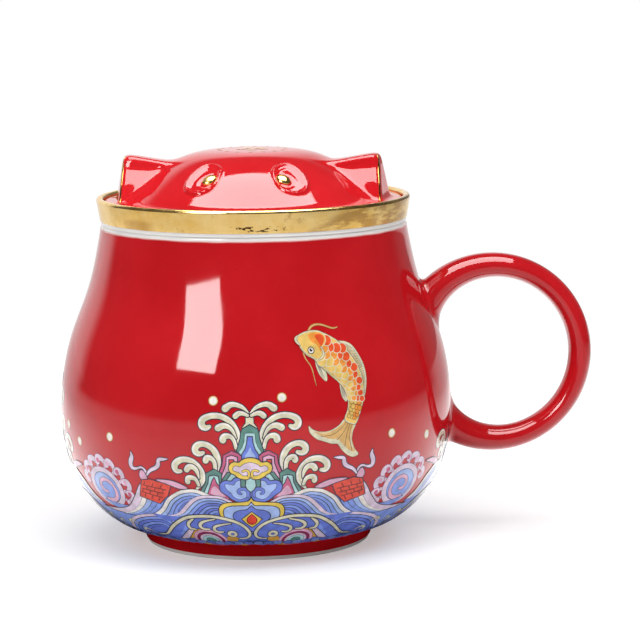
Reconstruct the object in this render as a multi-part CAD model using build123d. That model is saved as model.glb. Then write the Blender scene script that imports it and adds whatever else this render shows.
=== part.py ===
from build123d import *
import math
import os

# A porcelain tea mug with a lift-out infuser and a loose lid in the shape of a cat's head.
# Millimetres and degrees. +Z is up, the foot stands on Z = 0 around the origin, the handle
# points along +X and the cat looks along -Y.

# Mug: outside
foot_radius = 31.0            # standing ring, outer radius
foot_flare = 1.0              # how much wider the foot is where it joins the belly
foot_height = 4.5
foot_ring_width = 3.4         # unglazed ring that touches the table
foot_recess = 3.2             # hollow under the floor
recess_draft = 1.0            # how much narrower the hollow is at its top
belly_radius = 53.7
belly_height = 37.0
mug_height = 88.0
lip_radius = 41.9
lip_round = 0.6
neck_drop = 4.0               # the neck's widest place, below the lip
neck_swell = 0.5              # how much wider the neck is than the lip
wall = 3.6                    # porcelain and glaze together
glaze = 0.4                   # red coat on the outside
bare_lip = 1.5                # white porcelain left above the coat
bare_foot = 1.0               # white porcelain left below the coat
foot_rise = 0.12              # slope of the belly where it leaves the foot
under_belly = [(0.56, 0.19), (0.89, 0.54)]    # radius and height, as shares of foot to belly
shoulder = [(0.30, 0.45), (0.70, 0.70)]       # the same, of belly to neck

# Handle: a ring with tapered, tucked-in roots
handle_reach = 38.9           # from the belly to the outermost point
handle_height = 50.4          # centre of the ring
ring_radius = 24.6            # centre line
grip_thickness = 6.2          # seen from the side, where the ring is thinnest
grip_width = 9.2              # along Y
root_thickness = 9.4
root_width = 12.6
root_tuck = 2.0               # how far the roots turn in from the ring
upper_root_angle = 140.0      # around the ring, from the outermost point
lower_root_angle = 122.0
root_overrun = 14.0           # how far the ring runs on before the mug's skin cuts it off
handle_sections = 13

# Infuser: collar that rests on the lip, and the perforated basket under it
collar_height = 7.0           # from the lip to the gilded edge
collar_flare = 1.0            # how much wider the collar is at its top
collar_wall = 2.0
collar_bevel = 0.65           # on both edges of the rim
ledge_thickness = 3.2         # shelf that carries the lid
gilding = 0.2                 # thickness of every gilded line and band
bare_collar = 1.3             # white strip below the gilded band
basket_clearance = 1.0        # between the basket and the mug's mouth
basket_depth = 52.0           # below the lip
basket_taper = 4.0            # how much narrower the basket is at its foot
basket_wall = 2.8
basket_inner_corner = 3.2
hole_diameter = 2.6
wall_rows = 4
holes_per_row = 16
row_pitch = 8.0
first_row_height = 12.0       # above the basket's underside
floor_ring_pitch = 8.0
floor_rings = 2

# Lid: flange, locating skirt and hollow crown
lid_clearance = 0.4           # between the flange and the collar
flange_thickness = 3.0
flange_round = 0.5
flange_width = 4.4            # shelf that shows around the head
skirt_clearance = 0.8         # between the skirt and the basket
skirt_depth = 6.0
skirt_wall = 2.8
crown_height = 13.5           # from the flange to the top of the head
crown_wall = 3.2
brow_share = (0.69, 0.61)     # where the cheek's straight slope starts, as shares
lid_turn = -4.0               # how far the lid is turned in its seat

# Ears
ear_lean = 35.0               # the face of the ear leans back from upright
ear_forward = 6.9             # from the lid's axis to the ear's top front edge
ear_rise = 12.4               # top of the ear above the flange
ear_width = 14.5
ear_slope = 7.8               # the top edge falls towards the head
ear_ridge = 2.5               # width of the top, from front to back
ear_back_lean = 15.0          # the back leans forwards
ear_side_inset = 1.6          # top front corner of the ear, in from the head's edge
ear_side_lean = 4.0           # the outer side leans towards the head
ear_side_turn = 16.0          # and turns towards the face
ear_round = 1.0
ear_tip_round = 2.5           # outer top corner

# Eyes
eye_angle = 21.2              # from straight ahead
eye_share = 0.742             # distance from the axis, as a share of the head's radius
eye_length = 12.6
eye_width = 8.0
eye_tilt = 37.0               # outer corner turned down
eyelid_width = 0.7
eyelid_height = 0.45
pupil_length = 4.4
pupil_width = 3.5
pupil_height = 1.1
pupil_clearance = 0.25        # between the pupil and the inner run of the eyelid

# Gilt ornament on top of the head
dot_ring_radius = 11.0
dot_count = 16
dot_diameter = 1.3
petal_count = 5
petal_diameter = 3.2
petal_gap = 0.35

# Places worked out from the sizes above
handle_center = belly_radius + handle_reach - grip_thickness / 2 - ring_radius
neck_radius = lip_radius + neck_swell
neck_height = mug_height - neck_drop
collar_radius = lip_radius + collar_flare
rim_height = mug_height + collar_height
ledge_height = mug_height + ledge_thickness
basket_radius = lip_radius - wall - basket_clearance
basket_inner_radius = basket_radius - basket_wall
basket_bottom = mug_height - basket_depth
flange_radius = collar_radius - collar_wall - lid_clearance
flange_top = ledge_height + flange_thickness
head_radius = flange_radius - flange_width
skirt_radius = basket_inner_radius - skirt_clearance
skirt_bottom = ledge_height - skirt_depth
crown_top = flange_top + crown_height


def offset_curve(edge, distance, samples=9):
    """A spline beside an edge of the XZ plane, moved to the left of its direction."""
    points = []
    for i in range(samples):
        tangent = edge % (i / (samples - 1))
        normal = Vector(-tangent.Z, 0, tangent.X)
        points.append(edge @ (i / (samples - 1)) + normal * distance)
    return Spline(*points, tangents=(edge % 0, edge % 1))


def between(start, end, shares):
    """Points of the XZ plane, given as shares of the way from start to end."""
    return [
        (start[0] + (end[0] - start[0]) * across, 0, start[2] + (end[2] - start[2]) * up)
        for across, up in shares
    ]


def turned(edges):
    """A solid of revolution about the Z axis from closed edges in the XZ plane."""
    return revolve(make_face(edges), Axis.Z)


def mug_curves(inset):
    """The under-belly and shoulder curves of the mug, moved in by the inset."""
    foot = (foot_radius + foot_flare, 0, foot_height)
    belly = (belly_radius, 0, belly_height)
    neck = (neck_radius, 0, neck_height)
    lip = (lip_radius, 0, mug_height)
    upright = (0, 0, 1)
    lower = Spline(foot, *between(foot, belly, under_belly), belly, tangents=((1, 0, foot_rise), upright))
    upper = Spline(belly, *between(belly, neck, shoulder), neck, lip, tangents=(upright, upright))
    if inset == 0:
        return lower, upper
    return offset_curve(lower, inset), offset_curve(upper, inset)


def mug_outside(inset):
    """The mug as a filled solid, with its skin moved in by the inset."""
    lower, upper = mug_curves(inset)
    foot_edge = (foot_radius - inset, 0, 0)
    return turned([
        Line((0, 0, 0), foot_edge),
        Line(foot_edge, lower @ 0),
        lower,
        upper,
        Line(upper @ 1, (0, 0, mug_height)),
        Line((0, 0, mug_height), (0, 0, 0)),
    ])


def slab(low, high):
    """Everything between two heights, wider than the mug."""
    size = 4 * (belly_radius + handle_reach)
    return Pos(0, 0, (low + high) / 2) * Box(size, size, high - low)


def make_mug_body():
    """Porcelain vessel with its foot ring, its hollow and its white lip."""
    lower, upper = mug_curves(wall)
    floor_edge = lower @ 0
    mouth = upper @ 1
    top = mug_height + wall
    hollow = turned([
        Line((0, 0, floor_edge.Z), floor_edge),
        lower,
        upper,
        Line(mouth, (mouth.X, 0, top)),
        Line((mouth.X, 0, top), (0, 0, top)),
        Line((0, 0, top), (0, 0, floor_edge.Z)),
    ])
    recess_radius = foot_radius - foot_ring_width
    recess = Pos(0, 0, foot_recess / 2) * Cone(recess_radius, recess_radius - recess_draft, foot_recess)
    body = mug_outside(glaze) - hollow - recess
    return fillet(body.faces().sort_by(Axis.Z)[-1].edges(), lip_round)


def make_mug_glaze():
    """Red coat between the bare foot ring and the bare lip."""
    coat = mug_outside(0) - mug_outside(glaze)
    return coat & slab(bare_foot, mug_height - bare_lip)


def root_share(angle):
    """0 over most of the ring, rising smoothly to 1 where a root enters the wall."""
    root_angle = upper_root_angle if angle > 0 else lower_root_angle
    return (abs(angle) / root_angle) ** 4


def handle_section(angle):
    """Oval section of the handle at an angle around the ring, 0 at the outermost point."""
    share = root_share(angle)
    turn = math.radians(angle)
    radius = ring_radius - root_tuck * share
    outward = Vector(math.cos(turn), 0, math.sin(turn))
    along = Vector(-math.sin(turn), 0, math.cos(turn))
    center = Vector(handle_center, 0, handle_height) + outward * radius
    thickness = grip_thickness + (root_thickness - grip_thickness) * share
    width = grip_width + (root_width - grip_width) * share
    return Plane(center, x_dir=outward, z_dir=along) * Ellipse(thickness / 2, width / 2)


def make_handle():
    """Ring handle, ending on the mug's skin."""
    start = -lower_root_angle - root_overrun
    step = (upper_root_angle + root_overrun - start) / (handle_sections - 1)
    ring = loft([handle_section(start + i * step) for i in range(handle_sections)])
    return ring - mug_outside(0)


def collar_outline(skin):
    """Section of the collar above the lip, with its outside and top moved in by the skin."""
    inside = collar_radius - collar_wall
    return [
        (inside + skin, 0, ledge_height),
        (inside + skin, 0, rim_height - collar_bevel),
        (inside + collar_bevel + skin, 0, rim_height - skin),
        (collar_radius - collar_bevel - skin, 0, rim_height - skin),
        (collar_radius - skin, 0, rim_height - collar_bevel),
        (lip_radius - skin, 0, mug_height + bare_collar),
    ]


def closed_polyline(points):
    """Edges of a closed outline in the XZ plane."""
    return Polyline(*points, close=True).edges()


def rounded_foot(solid, radius):
    """The solid with the edge around its underside rounded."""
    return fillet(solid.faces().sort_by(Axis.Z)[0].edges(), radius)


def basket_holes():
    """Bores for the staggered rows in the wall and the rings in the floor."""
    holes = []
    bore = Rot(0, 90, 0) * Cylinder(hole_diameter / 2, basket_radius / 2)
    for row in range(wall_rows):
        height = basket_bottom + first_row_height + row * row_pitch
        for i in range(holes_per_row):
            angle = (i + row % 2 / 2) * 360 / holes_per_row
            holes.append(Pos(0, 0, height) * Rot(0, 0, angle) * Pos(basket_radius * 0.75, 0, 0) * bore)
    drain = Pos(0, 0, basket_bottom) * Cylinder(hole_diameter / 2, 4 * basket_wall)
    holes.append(drain)
    for ring in range(1, floor_rings + 1):
        for i in range(6 * ring):
            holes.append(Rot(0, 0, i * 60 / ring) * Pos(ring * floor_ring_pitch, 0, 0) * drain)
    return holes


def make_infuser_basket():
    """Porcelain collar, ledge and perforated basket in one piece."""
    foot = basket_radius - basket_taper
    floor = basket_bottom + basket_wall
    outside = turned(closed_polyline([
        (0, 0, basket_bottom),
        (foot, 0, basket_bottom),
        (basket_radius, 0, mug_height),
        (basket_radius, 0, ledge_height),
        (0, 0, ledge_height),
    ]))
    inside = turned(closed_polyline([
        (0, 0, floor),
        (foot - basket_wall, 0, floor),
        (basket_inner_radius, 0, mug_height),
        (basket_inner_radius, 0, rim_height),
        (0, 0, rim_height),
    ]))
    collar = turned(closed_polyline([
        (basket_radius, 0, mug_height),
        (basket_radius, 0, ledge_height),
        *collar_outline(gilding),
        (lip_radius - gilding, 0, mug_height),
    ]))
    basket = rounded_foot(outside, basket_inner_corner + basket_wall) + collar
    return basket - rounded_foot(inside, basket_inner_corner) - basket_holes()


def make_collar_gilding():
    """Gilded band over the collar's outside, its edge and its inside."""
    return turned(closed_polyline(collar_outline(0) + collar_outline(gilding)[::-1]))


def crown_curve():
    """From the middle of the head, over the brow and down the cheek to the flange."""
    top = (0, 0, crown_top)
    brow = (head_radius * brow_share[0], 0, flange_top + crown_height * brow_share[1])
    base = (head_radius, 0, flange_top)
    cheek = (base[0] - brow[0], 0, base[2] - brow[2])
    return Spline(top, brow, base, tangents=((1, 0, 0), cheek))


def crown_height_at(radius):
    """Height of the head's skin at a distance from the axis, and the direction of its slope."""
    curve = crown_curve()
    low, high = 0.0, 1.0
    for _ in range(40):
        middle = (low + high) / 2
        if (curve @ middle).X < radius:
            low = middle
        else:
            high = middle
    return (curve @ low).Z, curve % low


def raised_crown(height):
    """The filled head, from the skirt's foot up, with its skin raised by the height."""
    curve = crown_curve() if height == 0 else offset_curve(crown_curve(), height)
    edge = curve @ 1
    return turned([
        curve,
        Line(edge, (edge.X, 0, skirt_bottom)),
        Line((edge.X, 0, skirt_bottom), (0, 0, skirt_bottom)),
        Line((0, 0, skirt_bottom), curve @ 0),
    ])


def upright_cylinder(radius, low, high):
    """Cylinder about the Z axis between two heights."""
    return Pos(0, 0, (low + high) / 2) * Cylinder(radius, high - low)


def make_lid_crown():
    """Hollow head with the flange that rests on the ledge and the skirt that centres it."""
    flange = upright_cylinder(flange_radius, ledge_height, flange_top)
    flange = fillet(flange.edges().filter_by(GeomType.CIRCLE), flange_round)
    skirt = upright_cylinder(skirt_radius, skirt_bottom, flange_top)
    head = raised_crown(0) & slab(flange_top, crown_top)
    bore = upright_cylinder(skirt_radius - skirt_wall, skirt_bottom, crown_top)
    return flange + skirt + head - (raised_crown(-crown_wall) & bore)


def ear_planes():
    """Planes of the right ear's face, outer side, top and back, with outward normals."""
    corner = Vector(head_radius - ear_side_inset, -ear_forward, flange_top + ear_rise)
    lean, back_lean, slope = map(math.radians, (ear_lean, ear_back_lean, ear_slope))
    side_lean, side_turn = map(math.radians, (ear_side_lean, ear_side_turn))
    outward = Vector(math.cos(side_turn), -math.sin(side_turn), 0) * math.cos(side_lean)
    face = Plane(corner, z_dir=(0, -math.cos(lean), math.sin(lean)))
    side = Plane(corner, z_dir=outward + Vector(0, 0, math.sin(side_lean)))
    top = Plane(corner, z_dir=(-math.sin(slope), 0, math.cos(slope)))
    ridge_end = corner + Vector(0, ear_ridge, 0)
    back = Plane(ridge_end, z_dir=(0, math.cos(back_lean), math.sin(back_lean)))
    return face, side, top, back


def ear_blank():
    """The right ear before it is fitted to the head."""
    planes = ear_planes()
    size = 4 * (ear_width + ear_rise)
    ear = Pos(planes[0].origin - Vector(ear_width, 0, skirt_depth + ear_rise)) * Box(
        size, size, size, align=(Align.MIN, Align.CENTER, Align.MIN)
    )
    for plane in planes:
        ear -= extrude(plane * Rectangle(2 * size, 2 * size), 2 * size)
    face, side, top, _ = (ear.faces().sort_by(Axis(p.origin, p.z_dir))[-1].edges() for p in planes)
    ear = fillet([edge for edge in top if edge in side], ear_tip_round)
    return fillet(ear.faces().sort_by(Axis(planes[0].origin, planes[0].z_dir))[-1].edges(), ear_round)


def make_right_ear():
    """Thick cat ear that stands on the flange and the cheek."""
    return (ear_blank() - raised_crown(0)) & slab(flange_top, crown_top)


def make_right_ear_gilding():
    """Gilded line down the outer front corner of the ear, stopping short of its tip."""
    face, side, _, _ = ear_planes()
    corner = face.offset(-ear_round).intersect(side.offset(-ear_round))
    rod = Plane(corner.position, z_dir=corner.direction) * Cylinder(ear_round + gilding, 8 * ear_rise)
    line = rod - ear_blank() - raised_crown(0)
    return line & slab(flange_top, flange_top + ear_rise - ear_tip_round)


def eye_place():
    """Place on the right cheek at the pupil, with X along the eye and Z out of the skin."""
    radius = head_radius * eye_share
    height, slope = crown_height_at(radius)
    turn = math.radians(eye_angle)
    ahead = Vector(math.sin(turn), -math.cos(turn), 0)
    across = Vector(math.cos(turn), math.sin(turn), 0)
    down = ahead * slope.X + Vector(0, 0, slope.Z)
    tangent = Plane(ahead * radius + Vector(0, 0, height), x_dir=across, z_dir=across.cross(-down))
    return tangent * Rot(0, 0, 90 + eye_tilt)


def make_right_eyelid():
    """Raised ridge around the eye."""
    half_length = eye_length / 2
    half_width = eye_width / 2
    outwards = half_width - eyelid_width - pupil_width / 2 - pupil_clearance
    ring = Ellipse(half_length, half_width) - Ellipse(half_length - eyelid_width, half_width - eyelid_width)
    prism = extrude(eye_place() * Pos(0, -outwards) * ring, crown_wall, both=True)
    return (prism & raised_crown(eyelid_height)) - raised_crown(0)


def make_right_pupil():
    """Gilded bead in the middle of the eye."""
    bead = scale(Sphere(1), by=(pupil_length / 2, pupil_width / 2, pupil_height))
    return eye_place() * bead - raised_crown(0)


def ringed(count, radius, diameter):
    """Discs evenly spaced on a circle, the first one towards the face."""
    disc = Pos(0, -radius) * Circle(diameter / 2)
    return [Rot(0, 0, i * 360 / count) * disc for i in range(count)]


def make_crown_gilding():
    """Blossom and ring of dots in gilt on top of the head."""
    petal_ring_radius = (petal_diameter + petal_gap) / (2 * math.sin(math.pi / petal_count))
    heart_radius = petal_ring_radius - petal_diameter / 2 - petal_gap
    prints = [Circle(heart_radius)]
    prints += ringed(petal_count, petal_ring_radius, petal_diameter)
    prints += ringed(dot_count, dot_ring_radius, dot_diameter)
    coat = raised_crown(gilding) - raised_crown(0)
    return Compound([coat & Pos(0, 0, flange_top) * extrude(disc, 2 * crown_height) for disc in prints])


def mirrored(shape):
    """The left-hand twin of a right-hand piece."""
    return mirror(shape, about=Plane.YZ)


right_ear = make_right_ear()
right_ear_gilding = make_right_ear_gilding()
right_eyelid = make_right_eyelid()
right_pupil = make_right_pupil()
lid_parts = {
    "lid_crown": make_lid_crown(),
    "right_ear": right_ear,
    "left_ear": mirrored(right_ear),
    "right_ear_gilding": right_ear_gilding,
    "left_ear_gilding": mirrored(right_ear_gilding),
    "right_eyelid": right_eyelid,
    "left_eyelid": mirrored(right_eyelid),
    "right_pupil": right_pupil,
    "left_pupil": mirrored(right_pupil),
    "crown_gilding": make_crown_gilding(),
}
parts = {
    "mug_body": make_mug_body(),
    "mug_glaze": make_mug_glaze(),
    "handle": make_handle(),
    "infuser_basket": make_infuser_basket(),
    "collar_gilding": make_collar_gilding(),
}
for name, shape in lid_parts.items():
    parts[name] = Rot(0, 0, lid_turn) * shape

os.makedirs("parts", exist_ok=True)
for name, shape in parts.items():
    export_step(shape, f"parts/{name}.step")
    print(name, round(shape.volume, 1))
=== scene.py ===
import itertools
import math

import bpy
import numpy as np
from mathutils import Matrix, Vector
from mathutils.geometry import delaunay_2d_cdt


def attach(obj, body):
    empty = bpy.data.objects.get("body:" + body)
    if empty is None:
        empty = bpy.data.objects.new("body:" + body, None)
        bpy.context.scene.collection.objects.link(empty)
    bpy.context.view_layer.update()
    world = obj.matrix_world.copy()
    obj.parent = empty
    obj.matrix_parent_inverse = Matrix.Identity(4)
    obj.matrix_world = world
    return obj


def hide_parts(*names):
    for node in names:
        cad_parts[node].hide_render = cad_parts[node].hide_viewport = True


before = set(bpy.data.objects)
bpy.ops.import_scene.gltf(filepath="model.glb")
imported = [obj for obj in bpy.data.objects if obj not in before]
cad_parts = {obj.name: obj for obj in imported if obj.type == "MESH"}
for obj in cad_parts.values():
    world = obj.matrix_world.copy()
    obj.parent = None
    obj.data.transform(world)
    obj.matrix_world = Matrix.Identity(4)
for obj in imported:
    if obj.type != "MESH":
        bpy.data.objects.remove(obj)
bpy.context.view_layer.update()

# A red porcelain tea mug with an infuser and a cat-head lid. The helpers work in millimetres, in the
# row frame, and piece() turns the result into metres.
MM = 0.001
TINY = 1e-9


# ---------------------------------------------------------------- camera
EYE_DISTANCE, EYE_ELEVATION, PIVOT_HEIGHT = 719.965, 0.1091, 88
YAW, PITCH, ROLL = 0.0249, 0.1475, -0.0122
FOCAL_PIXELS, FRAME_PIXELS, SENSOR_WIDTH = 2628.09, 640, 36.0
CLIP_NEAR, CLIP_FAR = 0.01, 20.0


def make_camera():
    """The camera in front of the mug and a little above it."""
    ahead, above = EYE_DISTANCE * math.cos(EYE_ELEVATION), EYE_DISTANCE * math.sin(EYE_ELEVATION)
    place = Vector((0, -ahead, PIVOT_HEIGHT + above))
    level = math.cos(PITCH)
    forward = Vector((math.sin(YAW) * level, math.cos(YAW) * level, -math.sin(PITCH)))
    right = Vector((math.cos(YAW), -math.sin(YAW), 0))
    up = right.cross(forward)
    right, up = (
        right * math.cos(ROLL) + up * math.sin(ROLL),
        up * math.cos(ROLL) - right * math.sin(ROLL),
    )
    data = bpy.data.cameras.new("camera")
    data.sensor_width = SENSOR_WIDTH
    data.lens = FOCAL_PIXELS / FRAME_PIXELS * SENSOR_WIDTH
    data.clip_start, data.clip_end = CLIP_NEAR, CLIP_FAR
    camera = bpy.data.objects.new("camera", data)
    turn = Matrix((right, up, -forward)).transposed().to_4x4()
    camera.matrix_world = Matrix.Translation(place * MM) @ turn
    bpy.context.scene.collection.objects.link(camera)
    bpy.context.scene.camera = camera


make_camera()


# ---------------------------------------------------------------- curves and meshes
def unit(rows):
    """A direction, or rows of them, at length one."""
    rows = np.asarray(rows, float)
    return rows / np.linalg.norm(rows, axis=-1, keepdims=True)


def left_of(curve):
    """Directions at length one to the left of a flat curve."""
    along = unit(np.gradient(curve, axis=0))
    return np.column_stack([-along[:, 1], along[:, 0]])


def side_lengths(points):
    """Lengths of a polyline's sides."""
    return np.linalg.norm(np.diff(points, axis=0), axis=1)


def smooth_curve(points, leaving, arriving, samples):
    """Points on a smooth curve through the given ones, with its directions at both ends."""
    p = np.asarray(points, float)
    h = side_lengths(p)
    rows = np.eye(len(p))
    known = np.zeros_like(p)
    known[0], known[-1] = unit(leaving), unit(arriving)
    for i in range(1, len(p) - 1):
        rows[i, i - 1:i + 2] = h[i], 2 * (h[i - 1] + h[i]), h[i - 1]
        known[i] = 3 * (h[i] * (p[i] - p[i - 1]) / h[i - 1] + h[i - 1] * (p[i + 1] - p[i]) / h[i])
    return hermite(p, np.linalg.solve(rows, known), h, samples)


def hermite(p, m, h, samples):
    """Samples of a piecewise cubic with points p, derivatives m and spans h."""
    at = np.concatenate([[0], np.cumsum(h)])
    t = np.linspace(0, at[-1], samples)
    i = np.clip(np.searchsorted(at, t, side="right") - 1, 0, len(h) - 1)
    s = ((t - at[i]) / np.maximum(h[i], TINY))[:, None]
    span = h[i][:, None]
    return (
        (2 * s**3 - 3 * s**2 + 1) * p[i]
        + (s**3 - 2 * s**2 + s) * span * m[i]
        + (3 * s**2 - 2 * s**3) * p[i + 1]
        + (s**3 - s**2) * span * m[i + 1]
    )


def closed_curve(points, samples):
    """Points on a smooth closed curve through the given ones."""
    p = np.asarray(points, float)
    p = np.concatenate([p, p[:1]])
    before = np.roll(p[:-1], 1, axis=0)
    after = np.roll(p[:-1], -1, axis=0)
    h = side_lengths(p)
    m = (after - before) / (h + np.roll(h, 1))[:, None]
    m = np.concatenate([m, m[:1]])
    return hermite(p, m, h, samples + 1)[:-1]


def shifted(profile, distance):
    """A profile moved to the left of its direction."""
    return profile + distance * left_of(profile)


def rounded(corners, radii, steps):
    """A polyline with its corners rounded, as points."""
    points = []
    corners = np.asarray(corners, float)
    for i, (corner, radius) in enumerate(zip(corners, radii)):
        if radius == 0:
            points.append(corner)
            continue
        a = unit(corners[i - 1] - corner)
        b = unit(corners[(i + 1) % len(corners)] - corner)
        half = math.acos(np.clip(a @ b, -1, 1)) / 2
        reach = radius / math.tan(half)
        center = corner + unit(a + b) * radius / math.sin(half)
        start = corner + a * reach - center
        end = corner + b * reach - center
        turn = math.atan2(start[0] * end[1] - start[1] * end[0], start @ end)
        for k in range(steps + 1):
            c, s = math.cos(turn * k / steps), math.sin(turn * k / steps)
            points.append(center + np.array([c * start[0] - s * start[1], s * start[0] + c * start[1]]))
    return np.array(points)


def dense(points, step):
    """A polyline with points added so that no side is longer than the step."""
    out = [points[0]]
    for a, b in zip(points[:-1], points[1:]):
        count = max(1, math.ceil(np.linalg.norm(b - a) / step))
        out += [a + (b - a) * k / count for k in range(1, count + 1)]
    return np.array(out)


SMOOTH_ANGLE = 38.0


def piece(name, points, faces, material, body, slot, replaced=(), angle=SMOOTH_ANGLE):
    """A mesh piece from points in millimetres, riding on a body."""
    mesh = bpy.data.meshes.new(name)
    mesh.from_pydata((np.asarray(points, float) * MM).tolist(), [], [list(map(int, f)) for f in faces])
    mesh.update()
    dressed(name, mesh, [material], body, slot, replaced, angle)


def dressed(name, mesh, materials, body, slot, replaced=(), angle=SMOOTH_ANGLE):
    """An object for a mesh, with its materials, its body and the nodes it stands for; the slot is not used.
    """
    for material in materials:
        mesh.materials.append(material)
    mesh.polygons.foreach_set("use_smooth", [True] * len(mesh.polygons))
    mesh.set_sharp_from_angle(angle=math.radians(angle))
    obj = bpy.data.objects.new(name, mesh)
    bpy.context.scene.collection.objects.link(obj)
    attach(obj, body)
    if replaced:
        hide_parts(*replaced)


def shown(node, material):
    """A CAD node that stays as it is, in a material of this scene."""
    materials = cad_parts[node].data.materials
    materials.clear()
    materials.append(material)


def lathe(profile, closed=False, segments=240):
    """Points and faces of a profile of radius and height turned about the Z axis."""
    points, rings = [], []
    turn = np.linspace(0, 2 * math.pi, segments, endpoint=False)
    for radius, height in profile:
        if radius < TINY:
            rings.append([len(points)] * segments)
            points.append((0, 0, height))
        else:
            rings.append(list(range(len(points), len(points) + segments)))
            points += [(radius * math.cos(t), radius * math.sin(t), height) for t in turn]
    faces = []
    pairs = list(zip(rings[:-1], rings[1:]))
    if closed:
        pairs.append((rings[-1], rings[0]))
    for low, high in pairs:
        for i in range(segments):
            j = (i + 1) % segments
            face = [low[i], low[j], high[j], high[i]]
            face = [v for k, v in enumerate(face) if v != face[k - 1]]
            faces.append(face)
    return points, faces


# ---------------------------------------------------------------- materials
def linear(*rgb):
    """A colour written in sRGB, 0 to 255, as the shader takes it."""
    shares = [c / 255 for c in rgb]
    return tuple(c / 12.92 if c <= 0.04045 else ((c + 0.055) / 1.055) ** 2.4 for c in shares) + (1.0,)


class Nodes:
    """A node tree, written one node at a time; sizes and depths are in millimetres."""

    def __init__(self, tree, coordinates):
        self.tree = tree
        self.place = self.add("ShaderNodeTexCoord").outputs[coordinates]

    def add(self, kind, settings=(), numbered=(), **named):
        """A new node with its settings and its inputs."""
        node = self.tree.nodes.new(kind)
        for key, value in dict(settings).items():
            setattr(node, key, value)
        for number, value in numbered:
            self.put(node.inputs[number], value)
        for key, value in named.items():
            self.put(node.inputs[key.replace("_", " ")], value)
        return node

    def put(self, socket, value):
        """A link into a socket, or a plain value."""
        if isinstance(value, bpy.types.NodeSocket):
            self.tree.links.new(value, socket)
        else:
            socket.default_value = value

    def math(self, operation, a, b=0.0):
        """One step of arithmetic."""
        return self.add("ShaderNodeMath", {"operation": operation}, [(0, a), (1, b)]).outputs[0]

    def plus(self, a, b):
        return self.math("ADD", a, b)

    def minus(self, a, b):
        return self.math("SUBTRACT", a, b)

    def times(self, a, b):
        return self.math("MULTIPLY", a, b)

    def ratio(self, a, b):
        return self.math("DIVIDE", a, b)

    def parts(self, vector):
        """The three coordinates of a vector."""
        return tuple(self.add("ShaderNodeSeparateXYZ", (), [(0, vector)]).outputs)

    def noise(self, size, detail, rough=0.5, place=None):
        """Noise of a size, between 0 and 1."""
        node = self.add("ShaderNodeTexNoise", Scale=1 / MM / size, Detail=detail, Roughness=rough)
        self.put(node.inputs["Vector"], place or self.place)
        return node.outputs["Fac"]

    def range(self, value, low, high, to_low=0.0, to_high=1.0, smooth=True):
        """A value taken from one range to another, and level beyond its ends."""
        kind = {"interpolation_type": "SMOOTHSTEP" if smooth else "LINEAR"}
        numbered = enumerate((value, low, high, to_low, to_high))
        return self.add("ShaderNodeMapRange", kind, numbered).outputs[0]

    def patches(self, size, detail, window, levels=(0.0, 1.0), rough=0.5, place=None, smooth=True):
        """Noise of a size, with the window of its values spread to the levels."""
        return self.range(self.noise(size, detail, rough, place), *window, *levels, smooth=smooth)

    def mix(self, share, a, b):
        """Colour a, and b where the share is one."""
        return self.add("ShaderNodeMix", {"data_type": "RGBA"}, [(0, share), (6, a), (7, b)]).outputs[2]

    def blend(self, share, a, b):
        """Number a, and b where the share is one."""
        return self.add("ShaderNodeMix", {"data_type": "FLOAT"}, [(0, share), (2, a), (3, b)]).outputs[0]

    def bumps(self, size, detail, depth, below=None):
        """The normal of a relief of noise, over another normal."""
        relief = self.noise(size, detail)
        node = self.add("ShaderNodeBump", Strength=1.0, Distance=depth * MM, Height=relief)
        if below is not None:
            self.put(node.inputs["Normal"], below)
        return node.outputs["Normal"]


class Surface(Nodes):
    """A material with its node tree."""

    def __init__(self, name):
        self.material = bpy.data.materials.new(name)
        self.material.use_nodes = True
        super().__init__(self.material.node_tree, "Object")
        self.shader = self.tree.nodes["Principled BSDF"]

    def finish(self, **inputs):
        """The material, with these inputs of its shader."""
        for key, value in inputs.items():
            self.put(self.shader.inputs[key.replace("_", " ")], value)
        return self.material


def glaze_waves(nodes):
    """The slow waviness and the fine dimples of a fired glaze, as a normal."""
    slow = nodes.bumps(size=16.0, detail=1.0, depth=0.05)
    return nodes.bumps(size=1.6, detail=2.0, depth=0.0016, below=slow)


THIN_EDGE, EDGE_WANDER = 0.5, 0.1
SPECK_SHARE = 0.25


def make_red_glaze(name, deep, bright, top=None):
    """Glossy red glaze with slow colour variation and dark specks, thin and pale at its top edge."""
    nodes = Surface(name)
    color = nodes.mix(nodes.patches(24.0, 3.0, (0.35, 0.65)), linear(*deep), linear(*bright))
    specks = nodes.patches(0.9, 1.0, (0.72, 0.8), (0.0, SPECK_SHARE))
    color = nodes.mix(specks, color, linear(120, 8, 14))
    if top is not None:
        wander = EDGE_WANDER * MM
        level = nodes.patches(7.0, 2.0, (0.3, 0.7), (-wander, wander), smooth=False)
        level = nodes.plus(nodes.parts(nodes.place)[2], level)
        thin = nodes.range(level, (top - THIN_EDGE) * MM, top * MM + wander)
        color = nodes.mix(thin, color, linear(238, 205, 200))
    rough = nodes.patches(11.0, 3.0, (0.3, 0.7), (0.04, 0.08), smooth=False)
    return nodes.finish(Base_Color=color, Roughness=rough, Normal=glaze_waves(nodes), IOR=1.52)


def make_porcelain():
    """Clear-glazed white porcelain."""
    nodes = Surface("white_porcelain")
    tones = linear(245, 243, 240), linear(237, 235, 233)
    color = nodes.mix(nodes.patches(20.0, 3.0, (0.3, 0.7)), *tones)
    rough = nodes.patches(6.0, 2.0, (0.3, 0.7), (0.08, 0.16), smooth=False)
    return nodes.finish(Base_Color=color, Roughness=rough, Normal=glaze_waves(nodes), IOR=1.5)


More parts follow.
